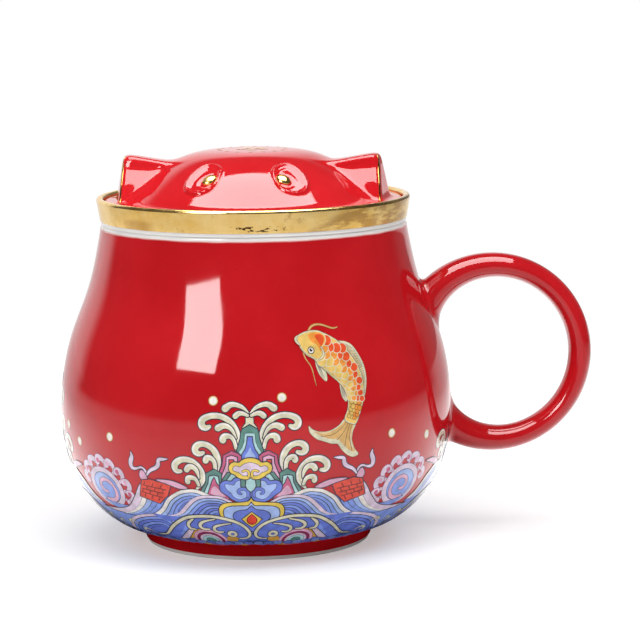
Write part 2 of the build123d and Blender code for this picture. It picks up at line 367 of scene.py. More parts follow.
def make_gilt(name, bright, deep, smudge_share=0.35):
    """Fired gold lustre, brushed on unevenly, with duller and browner smudges."""
    nodes = Surface(name)
    color = nodes.mix(nodes.patches(9.0, 4.0, (0.35, 0.65), rough=0.6), linear(*bright), linear(*deep))
    smudge = nodes.patches(5.0, 4.0, (0.6, 0.72), (0.0, smudge_share), rough=0.65)
    color = nodes.mix(smudge, color, linear(150, 92, 34))
    rough = nodes.patches(4.0, 4.0, (0.3, 0.7), (0.12, 0.30), rough=0.6, smooth=False)
    waves = nodes.bumps(size=6.0, detail=2.0, depth=0.12)
    normal = nodes.bumps(size=0.7, detail=2.0, depth=0.004, below=waves)
    nodes.finish(Base_Color=color, Metallic=1.0, Roughness=rough, Normal=normal)
    return nodes, color


# Painted reflection on the collar's gilt: browner streaks at both sides, standing in for darker reflections
# there; and dark scribbles along the front. Each is given from and to an angle round it, and the softness
# of both ends.
REFLECTION_STREAKS_RIGHT, REFLECTION_STREAKS_LEFT = (0.42, 1.5, 0.16), (-1.0, -0.62, 0.14)
SCRIBBLES, SCRIBBLE_HEIGHTS = (-0.17, 0.26, 0.08), (89.2, 91.0, 0.4)
STREAK_SLANT, STREAK_HEIGHT, LEFT_HEIGHTS = -0.05, 92.0, (92.2, 90.6)
STREAK_STRETCH, SCRIBBLE_STRETCH = 0.012, 0.02


def make_band_gilt():
    """The collar's gilt, with brown streaks of painted reflection on both sides and dark scribbles along
    the front.
    """
    nodes, color = make_gilt("collar_gilt", *GOLD)
    x, y, z = nodes.parts(nodes.place)
    around = nodes.math("ARCTAN2", x, nodes.times(y, -1.0))
    height = nodes.ratio(z, MM)

    def between_both(value, low, high, soft):
        """1 between two values, with a soft edge inside each."""
        return nodes.times(nodes.range(value, low, low + soft), nodes.range(value, high, high - soft))

    def unrolled(stretch):
        """The band rolled out flat, with its noise stretched round it."""
        return nodes.add("ShaderNodeCombineXYZ", X=nodes.times(around, stretch), Y=0.0, Z=z).outputs[0]

    streaks = nodes.patches(2.6, 4.0, (0.40, 0.56), rough=0.6, place=unrolled(STREAK_STRETCH))
    slant = nodes.plus(around, nodes.times(nodes.minus(height, STREAK_HEIGHT), STREAK_SLANT))
    # Painted reflection: the gilt turns browner in streaks at both sides of the collar.
    right = nodes.times(between_both(slant, *REFLECTION_STREAKS_RIGHT), streaks)
    left = nodes.times(between_both(around, *REFLECTION_STREAKS_LEFT), nodes.range(height, *LEFT_HEIGHTS))
    scribble = nodes.patches(0.9, 3.0, (0.53, 0.57), rough=0.7, place=unrolled(SCRIBBLE_STRETCH))
    front = nodes.times(between_both(around, *SCRIBBLES), between_both(height, *SCRIBBLE_HEIGHTS))
    color = nodes.mix(nodes.times(right, 0.55), color, linear(140, 84, 34))
    color = nodes.mix(nodes.times(left, 0.45), color, linear(150, 96, 44))
    color = nodes.mix(nodes.times(scribble, front), color, linear(70, 42, 16))
    return nodes.finish(Base_Color=color)


MUG_HEIGHT, BARE_LIP = 88.0, 1.0
COAT_TOP = MUG_HEIGHT - BARE_LIP
GOLD = (252, 216, 142), (242, 196, 108)
red_glaze = make_red_glaze("red_glaze", (188, 18, 26), (198, 24, 32), COAT_TOP)
# The lid's glaze is a lighter copy of the body's red: painted light, where the lid faces the overhead
# lamps.
lid_glaze = make_red_glaze("lid_glaze", (212, 24, 32), (222, 32, 40))
porcelain = make_porcelain()
gilt = make_gilt("gilt", *GOLD)[0].material
band_gilt = make_band_gilt()
ear_gilt = make_gilt("ear_gilt", (196, 156, 84), (140, 104, 48))[0].material
crown_gilt = make_gilt("crown_gilt", (246, 190, 150), (240, 176, 120), 0.1)[0].finish(Metallic=0.35)


# ---------------------------------------------------------------- mug
WALL, GLAZE, BARE_FOOT = 3.6, 0.4, 1.0
COAT_INSET, COAT_OVERLAP, COAT_EDGE = 0.07, 0.05, 0.15
FOOT_RADIUS, FOOT_JUNCTION, FOOT_HEIGHT = 31.0, 32.0, 4.5
FOOT_WIDTH, RECESS_FLARE, RECESS_HEIGHT = 3.4, 1.0, 3.2
BELLY, BELLY_SHARES = (53.7, 37.0), [(0.56, 0.19), (0.89, 0.54)]
NECK, NECK_SHARES = (42.4, 84.0), [(0.30, 0.45), (0.70, 0.70)]
LIP_RADIUS, LIP_ROUND, FOOT_ROUND = 41.9, 0.8, 0.35
LEAVING_FOOT, UPWARD = (1, 0.12), (0, 1)


def between(start, end, shares):
    """Points given as shares of the way from start to end."""
    return [(start[0] + (end[0] - start[0]) * a, start[1] + (end[1] - start[1]) * b) for a, b in shares]


def mug_skin():
    """Outer profile of the glazed mug, from the foot's junction to the lip."""
    foot = (FOOT_JUNCTION, FOOT_HEIGHT)
    lower = [foot, *between(foot, BELLY, BELLY_SHARES), BELLY]
    upper = [BELLY, *between(BELLY, NECK, NECK_SHARES), NECK, (LIP_RADIUS, MUG_HEIGHT)]
    lower = smooth_curve(lower, LEAVING_FOOT, UPWARD, samples=70)
    upper = smooth_curve(upper, UPWARD, UPWARD, samples=80)
    return np.concatenate([lower, upper[1:]])


skin = mug_skin()


def skin_radius(height):
    """Radius of the mug's skin at a height above the foot's junction."""
    return np.interp(height, skin[:, 1], skin[:, 0])


def cut_profile(profile, low, high):
    """The run of a rising profile between two heights."""
    inside = [p for p in profile if low < p[1] < high]
    ends = [(np.interp(z, profile[:, 1], profile[:, 0]), z) for z in (low, high)]
    return np.array([ends[0], *inside, ends[1]])


def make_mug():
    """Porcelain vessel and the red coat over it."""
    foot_line = np.array([(FOOT_RADIUS, 0.0), (FOOT_JUNCTION, FOOT_HEIGHT)])
    whole = np.concatenate([dense(foot_line, step=0.5)[:-1], skin])
    outer = shifted(cut_profile(whole, BARE_FOOT + COAT_EDGE, COAT_TOP - COAT_EDGE), COAT_INSET)
    under = shifted(cut_profile(whole, BARE_FOOT, COAT_TOP), GLAZE + COAT_OVERLAP)
    coat = np.concatenate([outer, under[::-1]])
    piece("red_coat", *lathe(coat, closed=True), red_glaze, "mug", "red_glaze", ["mug_glaze"])

    outside = shifted(cut_profile(whole, 0.0, MUG_HEIGHT), GLAZE)
    hollow = shifted(skin, WALL)
    hollow = np.concatenate([[(0.0, hollow[0][1])], hollow])
    ring = FOOT_RADIUS - FOOT_WIDTH
    recess = [(ring, 0.0), (ring - RECESS_FLARE, RECESS_HEIGHT), (0.0, RECESS_HEIGHT)]
    outside[0] = (FOOT_RADIUS - GLAZE, 0.0)
    outside[-1, 1] = hollow[-1, 1] = MUG_HEIGHT
    lip = [outside[-2], outside[-1], hollow[-1], hollow[-2]]
    lip = rounded(lip, [0, LIP_ROUND, LIP_ROUND, 0], steps=5)[1:-1]
    foot = [recess[1], recess[0], *outside[:2]]
    foot = rounded(foot, [0, FOOT_ROUND, FOOT_ROUND, 0], steps=3)[1:-1]
    profile = np.concatenate([[recess[2], recess[1]], foot, outside[1:-1], lip, hollow[::-1][1:]])
    piece("porcelain_vessel", *lathe(profile), porcelain, "mug", "white_porcelain", ["mug_body"])


make_mug()

# ---------------------------------------------------------------- handle
HANDLE_CENTER = np.array([64.9, 0.0, 50.4])
RING_RADIUS, ROOT_TUCK = 24.6, 2.0
GRIP = (6.2, 9.2)
ROOT = (9.4, 12.6)
UPPER_ROOT, LOWER_ROOT = 140.0, 122.0
ROOT_SEARCH, ROOT_SUNK, ROOT_CROWDING = (60.0, 165.0), 0.15, 0.10
FILLET = 2.0
SECTIONS, STEPS, HALVINGS = 64, 150, 30


def handle_point(angle, around):
    """Middle of the handle's section at an angle round the ring, and the way from it to the skin."""
    root = UPPER_ROOT if angle > 0 else LOWER_ROOT
    share = (abs(angle) / root) ** 4
    turn = math.radians(angle)
    outward = np.array([math.cos(turn), 0, math.sin(turn)])
    center = HANDLE_CENTER + outward * (RING_RADIUS - ROOT_TUCK * share)
    thickness = GRIP[0] + (ROOT[0] - GRIP[0]) * share
    width = GRIP[1] + (ROOT[1] - GRIP[1]) * share
    side = np.array([0, 1.0, 0])
    return center, outward * math.cos(around) * thickness / 2 + side * math.sin(around) * width / 2


def skin_slope(height):
    """Change of the skin's radius over one millimetre of height."""
    return skin_radius(height + 0.5) - skin_radius(height - 0.5)


def clear_of_skin(p):
    """How far a point is outside the mug's skin, roughly."""
    return (math.hypot(p[0], p[1]) - skin_radius(p[2])) / math.hypot(1, skin_slope(p[2]))


def along_skin(p, way):
    """The part of a direction that runs along the mug's skin near a point."""
    facing = unit([p[0], p[1], -skin_slope(p[2]) * math.hypot(p[0], p[1])])
    return way - facing * (way @ facing)


def root_angle(around, sign):
    """Angle at which a line along the handle meets the mug's skin, above or below."""
    low, high = (sign * angle for angle in ROOT_SEARCH)
    for _ in range(HALVINGS):
        middle = (low + high) / 2
        center, offset = handle_point(middle, around)
        low, high = (middle, high) if clear_of_skin(center + offset) > 0 else (low, middle)
    return low


def handle_line(around):
    """Points along the handle's skin from root to root, with the fillet, closer near the roots."""
    start, end = root_angle(around, -1), root_angle(around, 1)
    line = []
    for i in range(STEPS + 1):
        share = i / STEPS - ROOT_CROWDING * math.sin(2 * math.pi * i / STEPS)
        center, offset = handle_point(start + (end - start) * share, around)
        point = center + offset
        gap = max(0.0, clear_of_skin(point))
        if gap < FILLET:
            swell = FILLET * (1 - math.sqrt(1 - (1 - gap / FILLET) ** 2))
            point = point + along_skin(point, unit(offset)) * swell
        line.append(point)
    for p in (line[0], line[-1]):
        p[:2] *= 1 - (clear_of_skin(p) + ROOT_SUNK) / math.hypot(p[0], p[1])
    return line


def make_handle():
    """Ring handle, luted on with a small fillet of slip."""
    points = [handle_line(2 * math.pi * k / SECTIONS) for k in range(SECTIONS)]
    count = STEPS + 1
    faces = []
    for k in range(SECTIONS):
        here, there = k * count, (k + 1) % SECTIONS * count
        faces += [(here + i, there + i, there + i + 1, here + i + 1) for i in range(STEPS)]
    faces.append([k * count for k in range(SECTIONS)])
    faces.append([k * count + STEPS for k in reversed(range(SECTIONS))])
    points = np.reshape(points, (-1, 3))
    piece("ring_handle", points, faces, red_glaze, "mug", "red_glaze", ["handle"], angle=60)


make_handle()

# ---------------------------------------------------------------- infuser
COLLAR_RADIUS, RIM_HEIGHT, LEDGE_HEIGHT = 42.9, 95.0, 91.2
COLLAR_WALL, COLLAR_ROUND, BARE_COLLAR, GILDING = 2.0, 0.75, 0.95, 0.2


def make_collar():
    """Gilded band over the collar."""
    inside = COLLAR_RADIUS - COLLAR_WALL
    corners = [(inside, LEDGE_HEIGHT), (inside, RIM_HEIGHT), (COLLAR_RADIUS, RIM_HEIGHT)]
    corners.append((LIP_RADIUS, MUG_HEIGHT + BARE_COLLAR))
    outer = rounded(corners, [0, COLLAR_ROUND, COLLAR_ROUND, 0], steps=6)
    inner = shifted(outer, -GILDING)[::-1]
    band = np.concatenate([outer, inner])[::-1]
    piece("gilded_collar", *lathe(band, closed=True), band_gilt, "infuser", "gilt", ["collar_gilding"])


make_collar()
shown("infuser_basket", porcelain)

# ---------------------------------------------------------------- lid
LID_TURN = math.radians(-4.0)
FLANGE_RADIUS, FLANGE_TOP, HEAD_RADIUS = 40.5, 94.2, 36.1
CROWN_TOP, SHOULDER, BROW = 107.5, (18.0, 106.0), (26.0, 101.9)
SKIRT_RADIUS, SKIRT_BOTTOM, SKIRT_WALL, CROWN_WALL = 33.7, 85.2, 2.8, 3.2

crown = [(0, CROWN_TOP), SHOULDER, BROW, (HEAD_RADIUS, FLANGE_TOP)]
crown = smooth_curve(crown, (1, 0), (HEAD_RADIUS - BROW[0], FLANGE_TOP - BROW[1]), samples=120)
# The cheek goes straight on below the flange, so that every radius has a height.
crown = np.concatenate([crown, [crown[-1] + (crown[-1] - crown[-2]) * 60]])
SLOPE_REACH = 0.4


def crown_height(radius):
    """Height of the head's skin at a radius."""
    return np.interp(radius, crown[:, 0], crown[:, 1])


def crown_rise(radius):
    """Change of the head's height over twice SLOPE_REACH about a radius."""
    return crown_height(radius + SLOPE_REACH) - crown_height(radius - SLOPE_REACH)


def soft_min(a, b, reach):
    """The lower of two distances, blended where they are within reach of each other."""
    h = np.maximum(reach - np.abs(a - b), 0.0) / reach
    return np.minimum(a, b) - h * h * h * reach / 6


def soft_max(a, b, reach):
    """The higher of two distances, blended in the same way."""
    return -soft_min(-a, -b, reach)


def crown_distance(p, raised=0.0):
    """Distance above the head's skin."""
    radius = np.hypot(p[:, 0], p[:, 1])
    slope = np.where(radius < 0.5, 0.0, crown_rise(radius) / (2 * SLOPE_REACH))
    return (p[:, 2] - crown_height(radius)) / np.sqrt(1 + slope**2) - raised


# The right ear, in the lid's frame: its outer front corner, the directions that its sides face, where the
# steeper rim and the steeper foot of its face begin below the top edge, and how round its edges are.
EAR_LEAN, EAR_SIDE_LEAN, EAR_SIDE_TURN = map(math.radians, (35.0, 9.0, 8.0))
EAR_CORNER = np.array([HEAD_RADIUS - 1.6, -6.9, FLANGE_TOP + 12.4])
EAR_DEPTH, EAR_SLOPE, EAR_BACK_LEAN = 5.0, math.radians(9.5), math.radians(15.0)
EAR_LIFT, EAR_RIM, EAR_RIM_TILT = 0.7, 4.6, math.radians(27.0)
EAR_CHEEK, EAR_CHEEK_TILT = 10.5, math.radians(12.0)
EAR_TOP_ROUND, EAR_TIP_ROUND, EAR_SIDE_ROUND, EAR_BACK_ROUND, EAR_BLEND = 2.6, 4.2, 2.3, 3.0, 2.8
EAR_CHEEK_ROUND, EAR_RIM_ROUND = 0.6, 0.5
EAR_FACE = np.array([0, -math.cos(EAR_LEAN), math.sin(EAR_LEAN)])
EAR_UP = np.array([-0.08, math.sin(EAR_LEAN), math.cos(EAR_LEAN)])
EAR_RIM_FACE = EAR_FACE * math.cos(EAR_RIM_TILT) - EAR_UP * math.sin(EAR_RIM_TILT)
EAR_CHEEK_FACE = EAR_FACE * math.cos(EAR_CHEEK_TILT) - EAR_UP * math.sin(EAR_CHEEK_TILT)
EAR_SIDE = unit([math.cos(EAR_SIDE_TURN), -math.sin(EAR_SIDE_TURN), math.tan(EAR_SIDE_LEAN)])
EAR_TOP = np.array([-math.sin(EAR_SLOPE), 0.0, math.cos(EAR_SLOPE)])
EAR_BACK = np.array([0, math.cos(EAR_BACK_LEAN), math.sin(EAR_BACK_LEAN)])


def ear_distance(p):
    """Distance from the right ear, whose face leans back between a steeper rim and a steeper foot."""
    q = p - EAR_CORNER
    edge = EAR_LIFT / (EAR_UP @ EAR_TOP)
    cheek = (q - EAR_UP * (edge - EAR_CHEEK)) @ EAR_CHEEK_FACE
    face = soft_max(q @ EAR_FACE, cheek, EAR_CHEEK_ROUND)
    rim = (q - EAR_UP * (edge - EAR_RIM)) @ EAR_RIM_FACE
    side = q @ EAR_SIDE
    top = q @ EAR_TOP - EAR_LIFT
    back = (q - np.array([0, EAR_DEPTH, 0])) @ EAR_BACK
    tip = soft_max(side, top, EAR_TIP_ROUND)
    front = soft_max(soft_min(face, rim, EAR_RIM_ROUND), top, EAR_TOP_ROUND)
    return soft_max(soft_max(tip, front, EAR_SIDE_ROUND), back, EAR_BACK_ROUND)


# The right eye's outline about its pupil, outward and up the slope.
EYE_OUTLINE = closed_curve([
    (6.2, -2.4), (5.2, -4.1), (3.4, -5.2), (1.2, -5.4), (-0.7, -4.5), (-2.0, -2.8), (-2.5, -0.4),
    (-2.5, 2.0), (-2.1, 4.4), (-0.9, 6.0), (1.0, 7.1), (3.0, 7.4), (4.6, 6.3), (5.8, 4.2), (6.5, 1.8),
    (6.6, -0.5),
], samples=90)
PUPIL = np.array([9.9, -25.5, 101.3])
PUPIL_HALF = np.array([2.2, 1.75, 1.1])
EYE_REACH = np.array([9, 9, 6])
EYELID, EYELID_EDGE, EYELID_INSIDE, EYELID_HOLLOW = 0.75, (-0.5, 0.35), (0.8, 2.5), 1.2
OUTER_WAY, OUTER_SPAN = np.array([0.6, 0.8]), (-3.0, 3.5)
CREASE_DEPTH, CREASE_PLACE, CREASE_WIDTH = 0.14, 1.25, 0.22
MOAT_DEPTH, MOAT_PLACE, MOAT_WIDTH, PUPIL_TILT = 0.25, 1.15, 0.3, math.radians(37.0)


def eye_frame():
    """Outward, up the slope and out of the skin, at the right pupil."""
    radius = math.hypot(PUPIL[0], PUPIL[1])
    ahead = np.array([PUPIL[0], PUPIL[1], 0]) / radius
    across = np.array([-ahead[1], ahead[0], 0])
    up = -unit(ahead * 2 * SLOPE_REACH + np.array([0, 0, crown_rise(radius)]))
    return np.stack([across, up, np.cross(across, up)])


EYE_AXES = eye_frame()


def outline_distance(points, outline):
    """Distance from a closed outline, positive inside it."""
    best = np.full(len(points), np.inf)
    inside = np.zeros(len(points), bool)
    for (ax, ay), (bx, by) in zip(outline, np.roll(outline, -1, axis=0)):
        dx, dy = bx - ax, by - ay
        x, y = points[:, 0] - ax, points[:, 1] - ay
        t = np.clip((x * dx + y * dy) / (dx * dx + dy * dy), 0, 1)
        best = np.minimum(best, np.hypot(x - t * dx, y - t * dy))
        crosses = (ay > points[:, 1]) != (by > points[:, 1])
        inside ^= crosses & (x < y * dx / (dy if dy else TINY))
    return np.where(inside, best, -best)


def step(x, low, high):
    """0 below the low value and 1 above the high one, smooth between them."""
    t = np.clip((x - low) / (high - low), 0, 1)
    return t * t * (3 - 2 * t)


def bell(x, place, width):
    """1 at a place and falling off on both sides of it."""
    return np.exp(-(((x - place) / width) ** 2))


def eye_relief(p):
    """Height of the right eyelid's ridge over the head's skin, with its crease and the pupil's moat."""
    local = (p - PUPIL) @ EYE_AXES.T
    near = np.where((np.abs(local) < EYE_REACH).all(axis=1))[0]
    relief = np.zeros(len(p))
    if len(near) == 0:
        return relief
    uv = local[near, :2]
    d = outline_distance(uv, EYE_OUTLINE)
    outer = step((uv - EYE_OUTLINE.mean(axis=0)) @ OUTER_WAY, *OUTER_SPAN)
    width = EYELID_INSIDE[0] + (EYELID_INSIDE[1] - EYELID_INSIDE[0]) * outer
    inner_flank = 1 - np.clip((d - EYELID_EDGE[1]) / width, 0, 1)
    lid = EYELID * step(d, *EYELID_EDGE) * inner_flank**EYELID_HOLLOW
    crease = -CREASE_DEPTH * outer * bell(d, CREASE_PLACE, CREASE_WIDTH)
    c, s = math.cos(PUPIL_TILT), math.sin(PUPIL_TILT)
    turned = uv @ np.array([(-s, c), (c, s)])
    away = np.hypot(turned[:, 0] / PUPIL_HALF[0], turned[:, 1] / PUPIL_HALF[1])
    relief[near] = lid + crease - MOAT_DEPTH * bell(away, MOAT_PLACE, MOAT_WIDTH)
    return relief


def mirrored_x(p):
    """Points on the other side of the lid's middle plane."""
    return p * np.array([-1, 1, 1])


FLANGE_ROUND, CROWN_EDGE, FLANGE_FILLET, SKIRT_ROUND, HOLLOW_ROUND = 0.8, 0.4, 1.6, 0.8, 2.0
CROWN_OVERLAP = 2.0


def lid_distance(p):
    """Distance from the lid's solid, in the lid's own frame."""
    radius = np.hypot(p[:, 0], p[:, 1])
    right = np.where(p[:, 0:1] > 0, p, mirrored_x(p))
    height = p[:, 2]
    head = soft_min(crown_distance(p) - eye_relief(right), ear_distance(right), EAR_BLEND)
    middle, half = (FLANGE_TOP + LEDGE_HEIGHT) / 2, (FLANGE_TOP - LEDGE_HEIGHT) / 2
    flange = soft_max(radius - FLANGE_RADIUS, np.abs(height - middle) - half, FLANGE_ROUND)
    above = soft_max(head, LEDGE_HEIGHT - height, CROWN_EDGE)
    above = np.maximum(above, radius - HEAD_RADIUS - CROWN_OVERLAP)
    solid = soft_min(above, flange, FLANGE_FILLET)
    skirt = np.maximum(SKIRT_BOTTOM - height, height - FLANGE_TOP)
    solid = soft_min(solid, soft_max(radius - SKIRT_RADIUS, skirt, SKIRT_ROUND), SKIRT_ROUND)
    hollow = soft_max(crown_distance(p, -CROWN_WALL), radius - SKIRT_RADIUS + SKIRT_WALL, HOLLOW_ROUND)
    return soft_max(solid, -hollow, SKIRT_ROUND)


LID_BOX, LID_PITCH, QUICK_LID_PITCH = ((-42, -42, 84.6), (42, 42, 109.0)), 0.4, 0.8
GRID_PARTS, NUDGE, LEAST_SLOPE = 24, 0.02, 0.2


def crossing_cells(values):
    """The grid's cells that the surface runs through, and the mean of its crossings in each."""
    sign = values < 0
    total = np.zeros(tuple(s - 1 for s in values.shape) + (3,))
    count = np.zeros(total.shape[:3])
    for a in itertools.product((0, 1), repeat=3):
        for axis in range(3):
            if a[axis]:
                continue
            b = tuple(1 if n == axis else v for n, v in enumerate(a))
            at_a, at_b = (tuple(slice(o, s - 1 + o) for o, s in zip(c, values.shape)) for c in (a, b))
            crossed = sign[at_a] != sign[at_b]
            t = np.where(crossed, values[at_a] / np.where(crossed, values[at_a] - values[at_b], 1), 0)
            for n in range(3):
                total[..., n] += np.where(crossed, a[n] + (t if n == axis else 0), 0)
            count += crossed
    cells = np.argwhere(count > 0)
    return cells, total[tuple(cells.T)] / count[tuple(cells.T)][:, None]


def crossing_faces(sign, index):
    """Four-sided faces about the grid's edges that the surface crosses."""
    faces = []
    for axis in range(3):
        side, up = (axis + 1) % 3, (axis + 2) % 3
        a, b = [slice(None)] * 3, [slice(None)] * 3
        a[axis], b[axis] = slice(0, -1), slice(1, None)
        crossed = np.argwhere(sign[tuple(a)] != sign[tuple(b)])
        for way in (side, up):
            crossed = crossed[(crossed[:, way] > 0) & (crossed[:, way] < sign.shape[way] - 1)]
        quad = []
        for aside, below in ((1, 1), (0, 1), (0, 0), (1, 0)):
            corner = crossed.copy()
            corner[:, side] -= aside
            corner[:, up] -= below
            quad.append(index[tuple(corner.T)])
        quad = np.stack(quad, axis=1)
        outer = ~sign[tuple(crossed.T)]
        quad[outer] = quad[outer][:, ::-1]
        faces.append(quad)
    return np.concatenate(faces)


def surface_of(distance, low, high, pitch):
    """Points and faces of the surface where a distance is zero, on a grid of cells."""
    axes = [np.arange(a, b + pitch, pitch) for a, b in zip(low, high)]
    grid = np.stack(np.meshgrid(*axes, indexing="ij"), axis=-1)
    parts = np.array_split(grid.reshape(-1, 3), GRID_PARTS)
    values = np.concatenate([distance(part) for part in parts]).reshape(grid.shape[:3])
    cells, where = crossing_cells(values)
    index = np.full([n - 1 for n in values.shape], -1)
    index[tuple(cells.T)] = np.arange(len(cells))
    points = np.array(low) + (cells + where) * pitch
    return settled(points, distance, steps=6, reach=pitch), crossing_faces(values < 0, index)


def settled(points, distance, steps, reach=0.5, level=0.0):
    """Points moved along the slope of the distance until they lie on its surface, or at a level."""
    points = points.copy()
    ways = np.eye(3) * NUDGE
    for _ in range(steps):
        value = distance(points) - level
        slope = [(distance(points + way) - distance(points - way)) / (2 * NUDGE) for way in ways]
        slope = np.stack(slope, axis=1)
        move = slope * (value / np.maximum((slope**2).sum(axis=1), LEAST_SLOPE))[:, None]
        size = np.linalg.norm(move, axis=1)[:, None]
        points -= move * np.minimum(1, reach / np.maximum(size, TINY))
    return points


def lid_turned(points):
    """Points of the lid's own frame where the lid stands, turned a little on its ledge."""
    c, s = math.cos(LID_TURN), math.sin(LID_TURN)
    x, y, z = points.T
    return np.column_stack([x * c - y * s, x * s + y * c, z])


def make_lid():
    """Head, ears, eyelids, flange and skirt in one glazed piece."""
    pitch = LID_PITCH
    points, faces = surface_of(lid_distance, *LID_BOX, pitch)
    replaced = ["lid_crown", "right_ear", "left_ear", "right_eyelid", "left_eyelid"]
    piece("cat_lid", lid_turned(points), faces, lid_glaze, "lid", "lid_glaze", replaced, angle=55)


make_lid()


GILT_LINES, GILT_POINTS, GILT_ACROSS = 30, 6, (-1.5, 0.35)
GILT_BELOW, GILT_ABOVE, GILT_LEVEL = 0.6, 0.9, 0.05


def make_ear_gilding():
    """Thin gilt line down the outer front corner of each ear."""
    across = np.linspace(*GILT_ACROSS, GILT_POINTS)
    both = np.array([EAR_FACE[:2], EAR_SIDE[:2]])
    points = []
    for height in np.linspace(FLANGE_TOP + GILT_BELOW, EAR_CORNER[2] + EAR_LIFT - GILT_ABOVE, GILT_LINES):
        down = height - EAR_CORNER[2]
        corner = EAR_CORNER[:2] + np.linalg.solve(both, [-EAR_FACE[2] * down, -EAR_SIDE[2] * down])
        points += [(corner[0] - max(t, 0), corner[1] - min(t, 0), height) for t in across]
    edge = np.isin(np.arange(len(points)) % GILT_POINTS, (0, GILT_POINTS - 1))
    level = np.where(edge, -GILT_LEVEL, GILT_LEVEL)
    points = settled(np.array(points), lid_distance, steps=12, level=level)
    corners = [GILT_POINTS * i + j for i in range(GILT_LINES - 1) for j in range(GILT_POINTS - 1)]
    left = [(k, k + 1, k + GILT_POINTS + 1, k + GILT_POINTS) for k in corners]
    right = [face[::-1] for face in left]
    for name, place, faces in (
        ("right_ear_gilding", points, right),
        ("left_ear_gilding", mirrored_x(points), left),
    ):
        piece("gilt_" + name, lid_turned(place), faces, ear_gilt, "lid", "gilt", [name])


make_ear_gilding()
for pupil in ("right_pupil", "left_pupil"):
    shown(pupil, gilt)


# ---------------------------------------------------------------- printed pattern
# The pattern lies in a plane: across to the left of its middle line, in millimetres at the belly, and up
# along the skin from the foot. Its shapes are drawn over each other like enamel prints, and then laid on
# the skin. A brush's points give its width as well.
ROUND = 2 * math.pi * BELLY[0]
PATTERN_TURN = -2.0
INK_LINE, THIN_LINE, FINE_LINE, HAIR_LINE = 0.27, 0.14, 0.12, 0.1
# Cells of a print are about PRINT_PITCH wide. The first layer lies PRINT_LIFT over the coat, and each
# further one a LAYER higher.
PRINT_PITCH, PRINT_LIFT, LAYER = 0.6, 0.008, 0.003
PALER, PALE_LIFT, DEEPER = 1.12, 0.01, 0.86


def make_enamel(name, color):
    """Overglaze enamel, slightly uneven and nearly as glossy as the glaze around it."""
    nodes = Surface(name)
    pale = tuple(min(1.0, c * PALER + PALE_LIFT) for c in color[:3]) + (1.0,)
    deep = tuple(c * DEEPER for c in color[:3]) + (1.0,)
    shade = nodes.mix(nodes.patches(2.2, 3.0, (0.3, 0.7)), deep, pale)
    rough = nodes.patches(1.5, 3.0, (0.3, 0.7), (0.10, 0.2), smooth=False)
    return nodes.finish(Base_Color=shade, Roughness=rough, Normal=glaze_waves(nodes), IOR=1.5)


PALETTE = {
    "ink": (44, 40, 62), "cream": (222, 217, 188), "white": (238, 232, 226), "lilac": (226, 206, 226),
    "pink": (226, 172, 200), "rose": (200, 92, 132), "wine": (150, 50, 92), "blue": (106, 126, 216),
    "sky": (132, 158, 232), "pale_sky": (166, 190, 240), "teal": (92, 140, 130), "mint": (178, 218, 220),
    "yellow": (236, 204, 84), "gold": (222, 168, 76), "brick": (226, 66, 44), "line": (120, 26, 20),
    "straw": (232, 194, 106), "amber": (236, 150, 62), "scale": (230, 84, 40), "tan": (224, 180, 112),
    "brown": (104, 62, 44), "gray": (158, 146, 132),
}
enamels = {name: make_enamel("enamel_" + name, linear(*rgb)) for name, rgb in PALETTE.items()}


def natural(points, samples):
    """Smooth curve through the points, leaving and arriving straight."""
    p = np.asarray(points, float)
    if len(p) == 2:
        return p[0] + (p[1] - p[0]) * np.linspace(0, 1, samples)[:, None]
    return smooth_curve(p, p[1] - p[0], p[-1] - p[-2], samples)


def grown(outline, distance):
    """A closed outline moved outwards."""
    ahead = np.roll(outline, -1, axis=0) - outline
    (x, y), (next_x, next_y) = outline.T, np.roll(outline, -1, axis=0).T
    area = (x * next_y - next_x * y).sum()
    side = np.column_stack([ahead[:, 1], -ahead[:, 0]]) * math.copysign(1, area)
    side /= np.maximum(np.linalg.norm(side, axis=1), TINY)[:, None]
    normal = side + np.roll(side, 1, axis=0)
    size = np.maximum((normal**2).sum(axis=1), 1.0)
    return outline + normal * (2 * distance / size)[:, None]


# How far the inner points keep from an outline, in pitches, and how near each other two points are one.
CLEARANCE, MERGED = 0.4, 1e-5


def filled(outline):
    """Points and triangles of the inside of an outline."""
    ends = zip(outline.min(axis=0), outline.max(axis=0))
    axes = [np.arange(low, high, PRINT_PITCH) for low, high in ends]
    grid = np.stack(np.meshgrid(*axes), axis=-1).reshape(-1, 2)
    grid = grid[outline_distance(grid, outline) > PRINT_PITCH * CLEARANCE]
    count = len(outline)
    edges = [(i, (i + 1) % count) for i in range(count)]
    points = [Vector(p) for p in np.concatenate([outline, grid])]
    made = delaunay_2d_cdt(points, edges, [], 1, MERGED, False)
    flat = np.array([tuple(p) for p in made[0]])
    faces = np.array([tuple(f) for f in made[2]])
    inside = outline_distance(flat[faces].mean(axis=1), outline) > 0
    return flat, [tuple(face) for face in faces[inside].tolist()]


def strip(left, right):
    """Points and faces between two curves with as many points each."""
    across = max(2, math.ceil(np.linalg.norm(left - right, axis=1).max() / PRINT_PITCH) + 1)
    share = np.linspace(0, 1, across)[:, None, None]
    points = (left * (1 - share) + right * share).reshape(-1, 2)
    n = len(left)
    faces = [
        (k * n + i, k * n + i + 1, (k + 1) * n + i + 1, (k + 1) * n + i)
        for k in range(across - 1) for i in range(n - 1)
    ]
    return points, faces


# Steps of a stroke's round ends, the pitch of points along outlines and strokes, the least widths, the
# white edge's place and width as shares of a stroke's, and the dark gap between bands.
CAP = np.radians([90, 70, 45, 20])
SMOOTH_PITCH, STROKE_PITCH = 0.5, 0.35
LEAST_HALF, LEAST_WIDTH = 0.04, 0.01
SHINE_PLACE, SHINE_WIDTH = 0.3, 0.32
BAND_GAP, BAND_GAP_SHARE, BAND_SAMPLES = 0.24, 0.4, 34


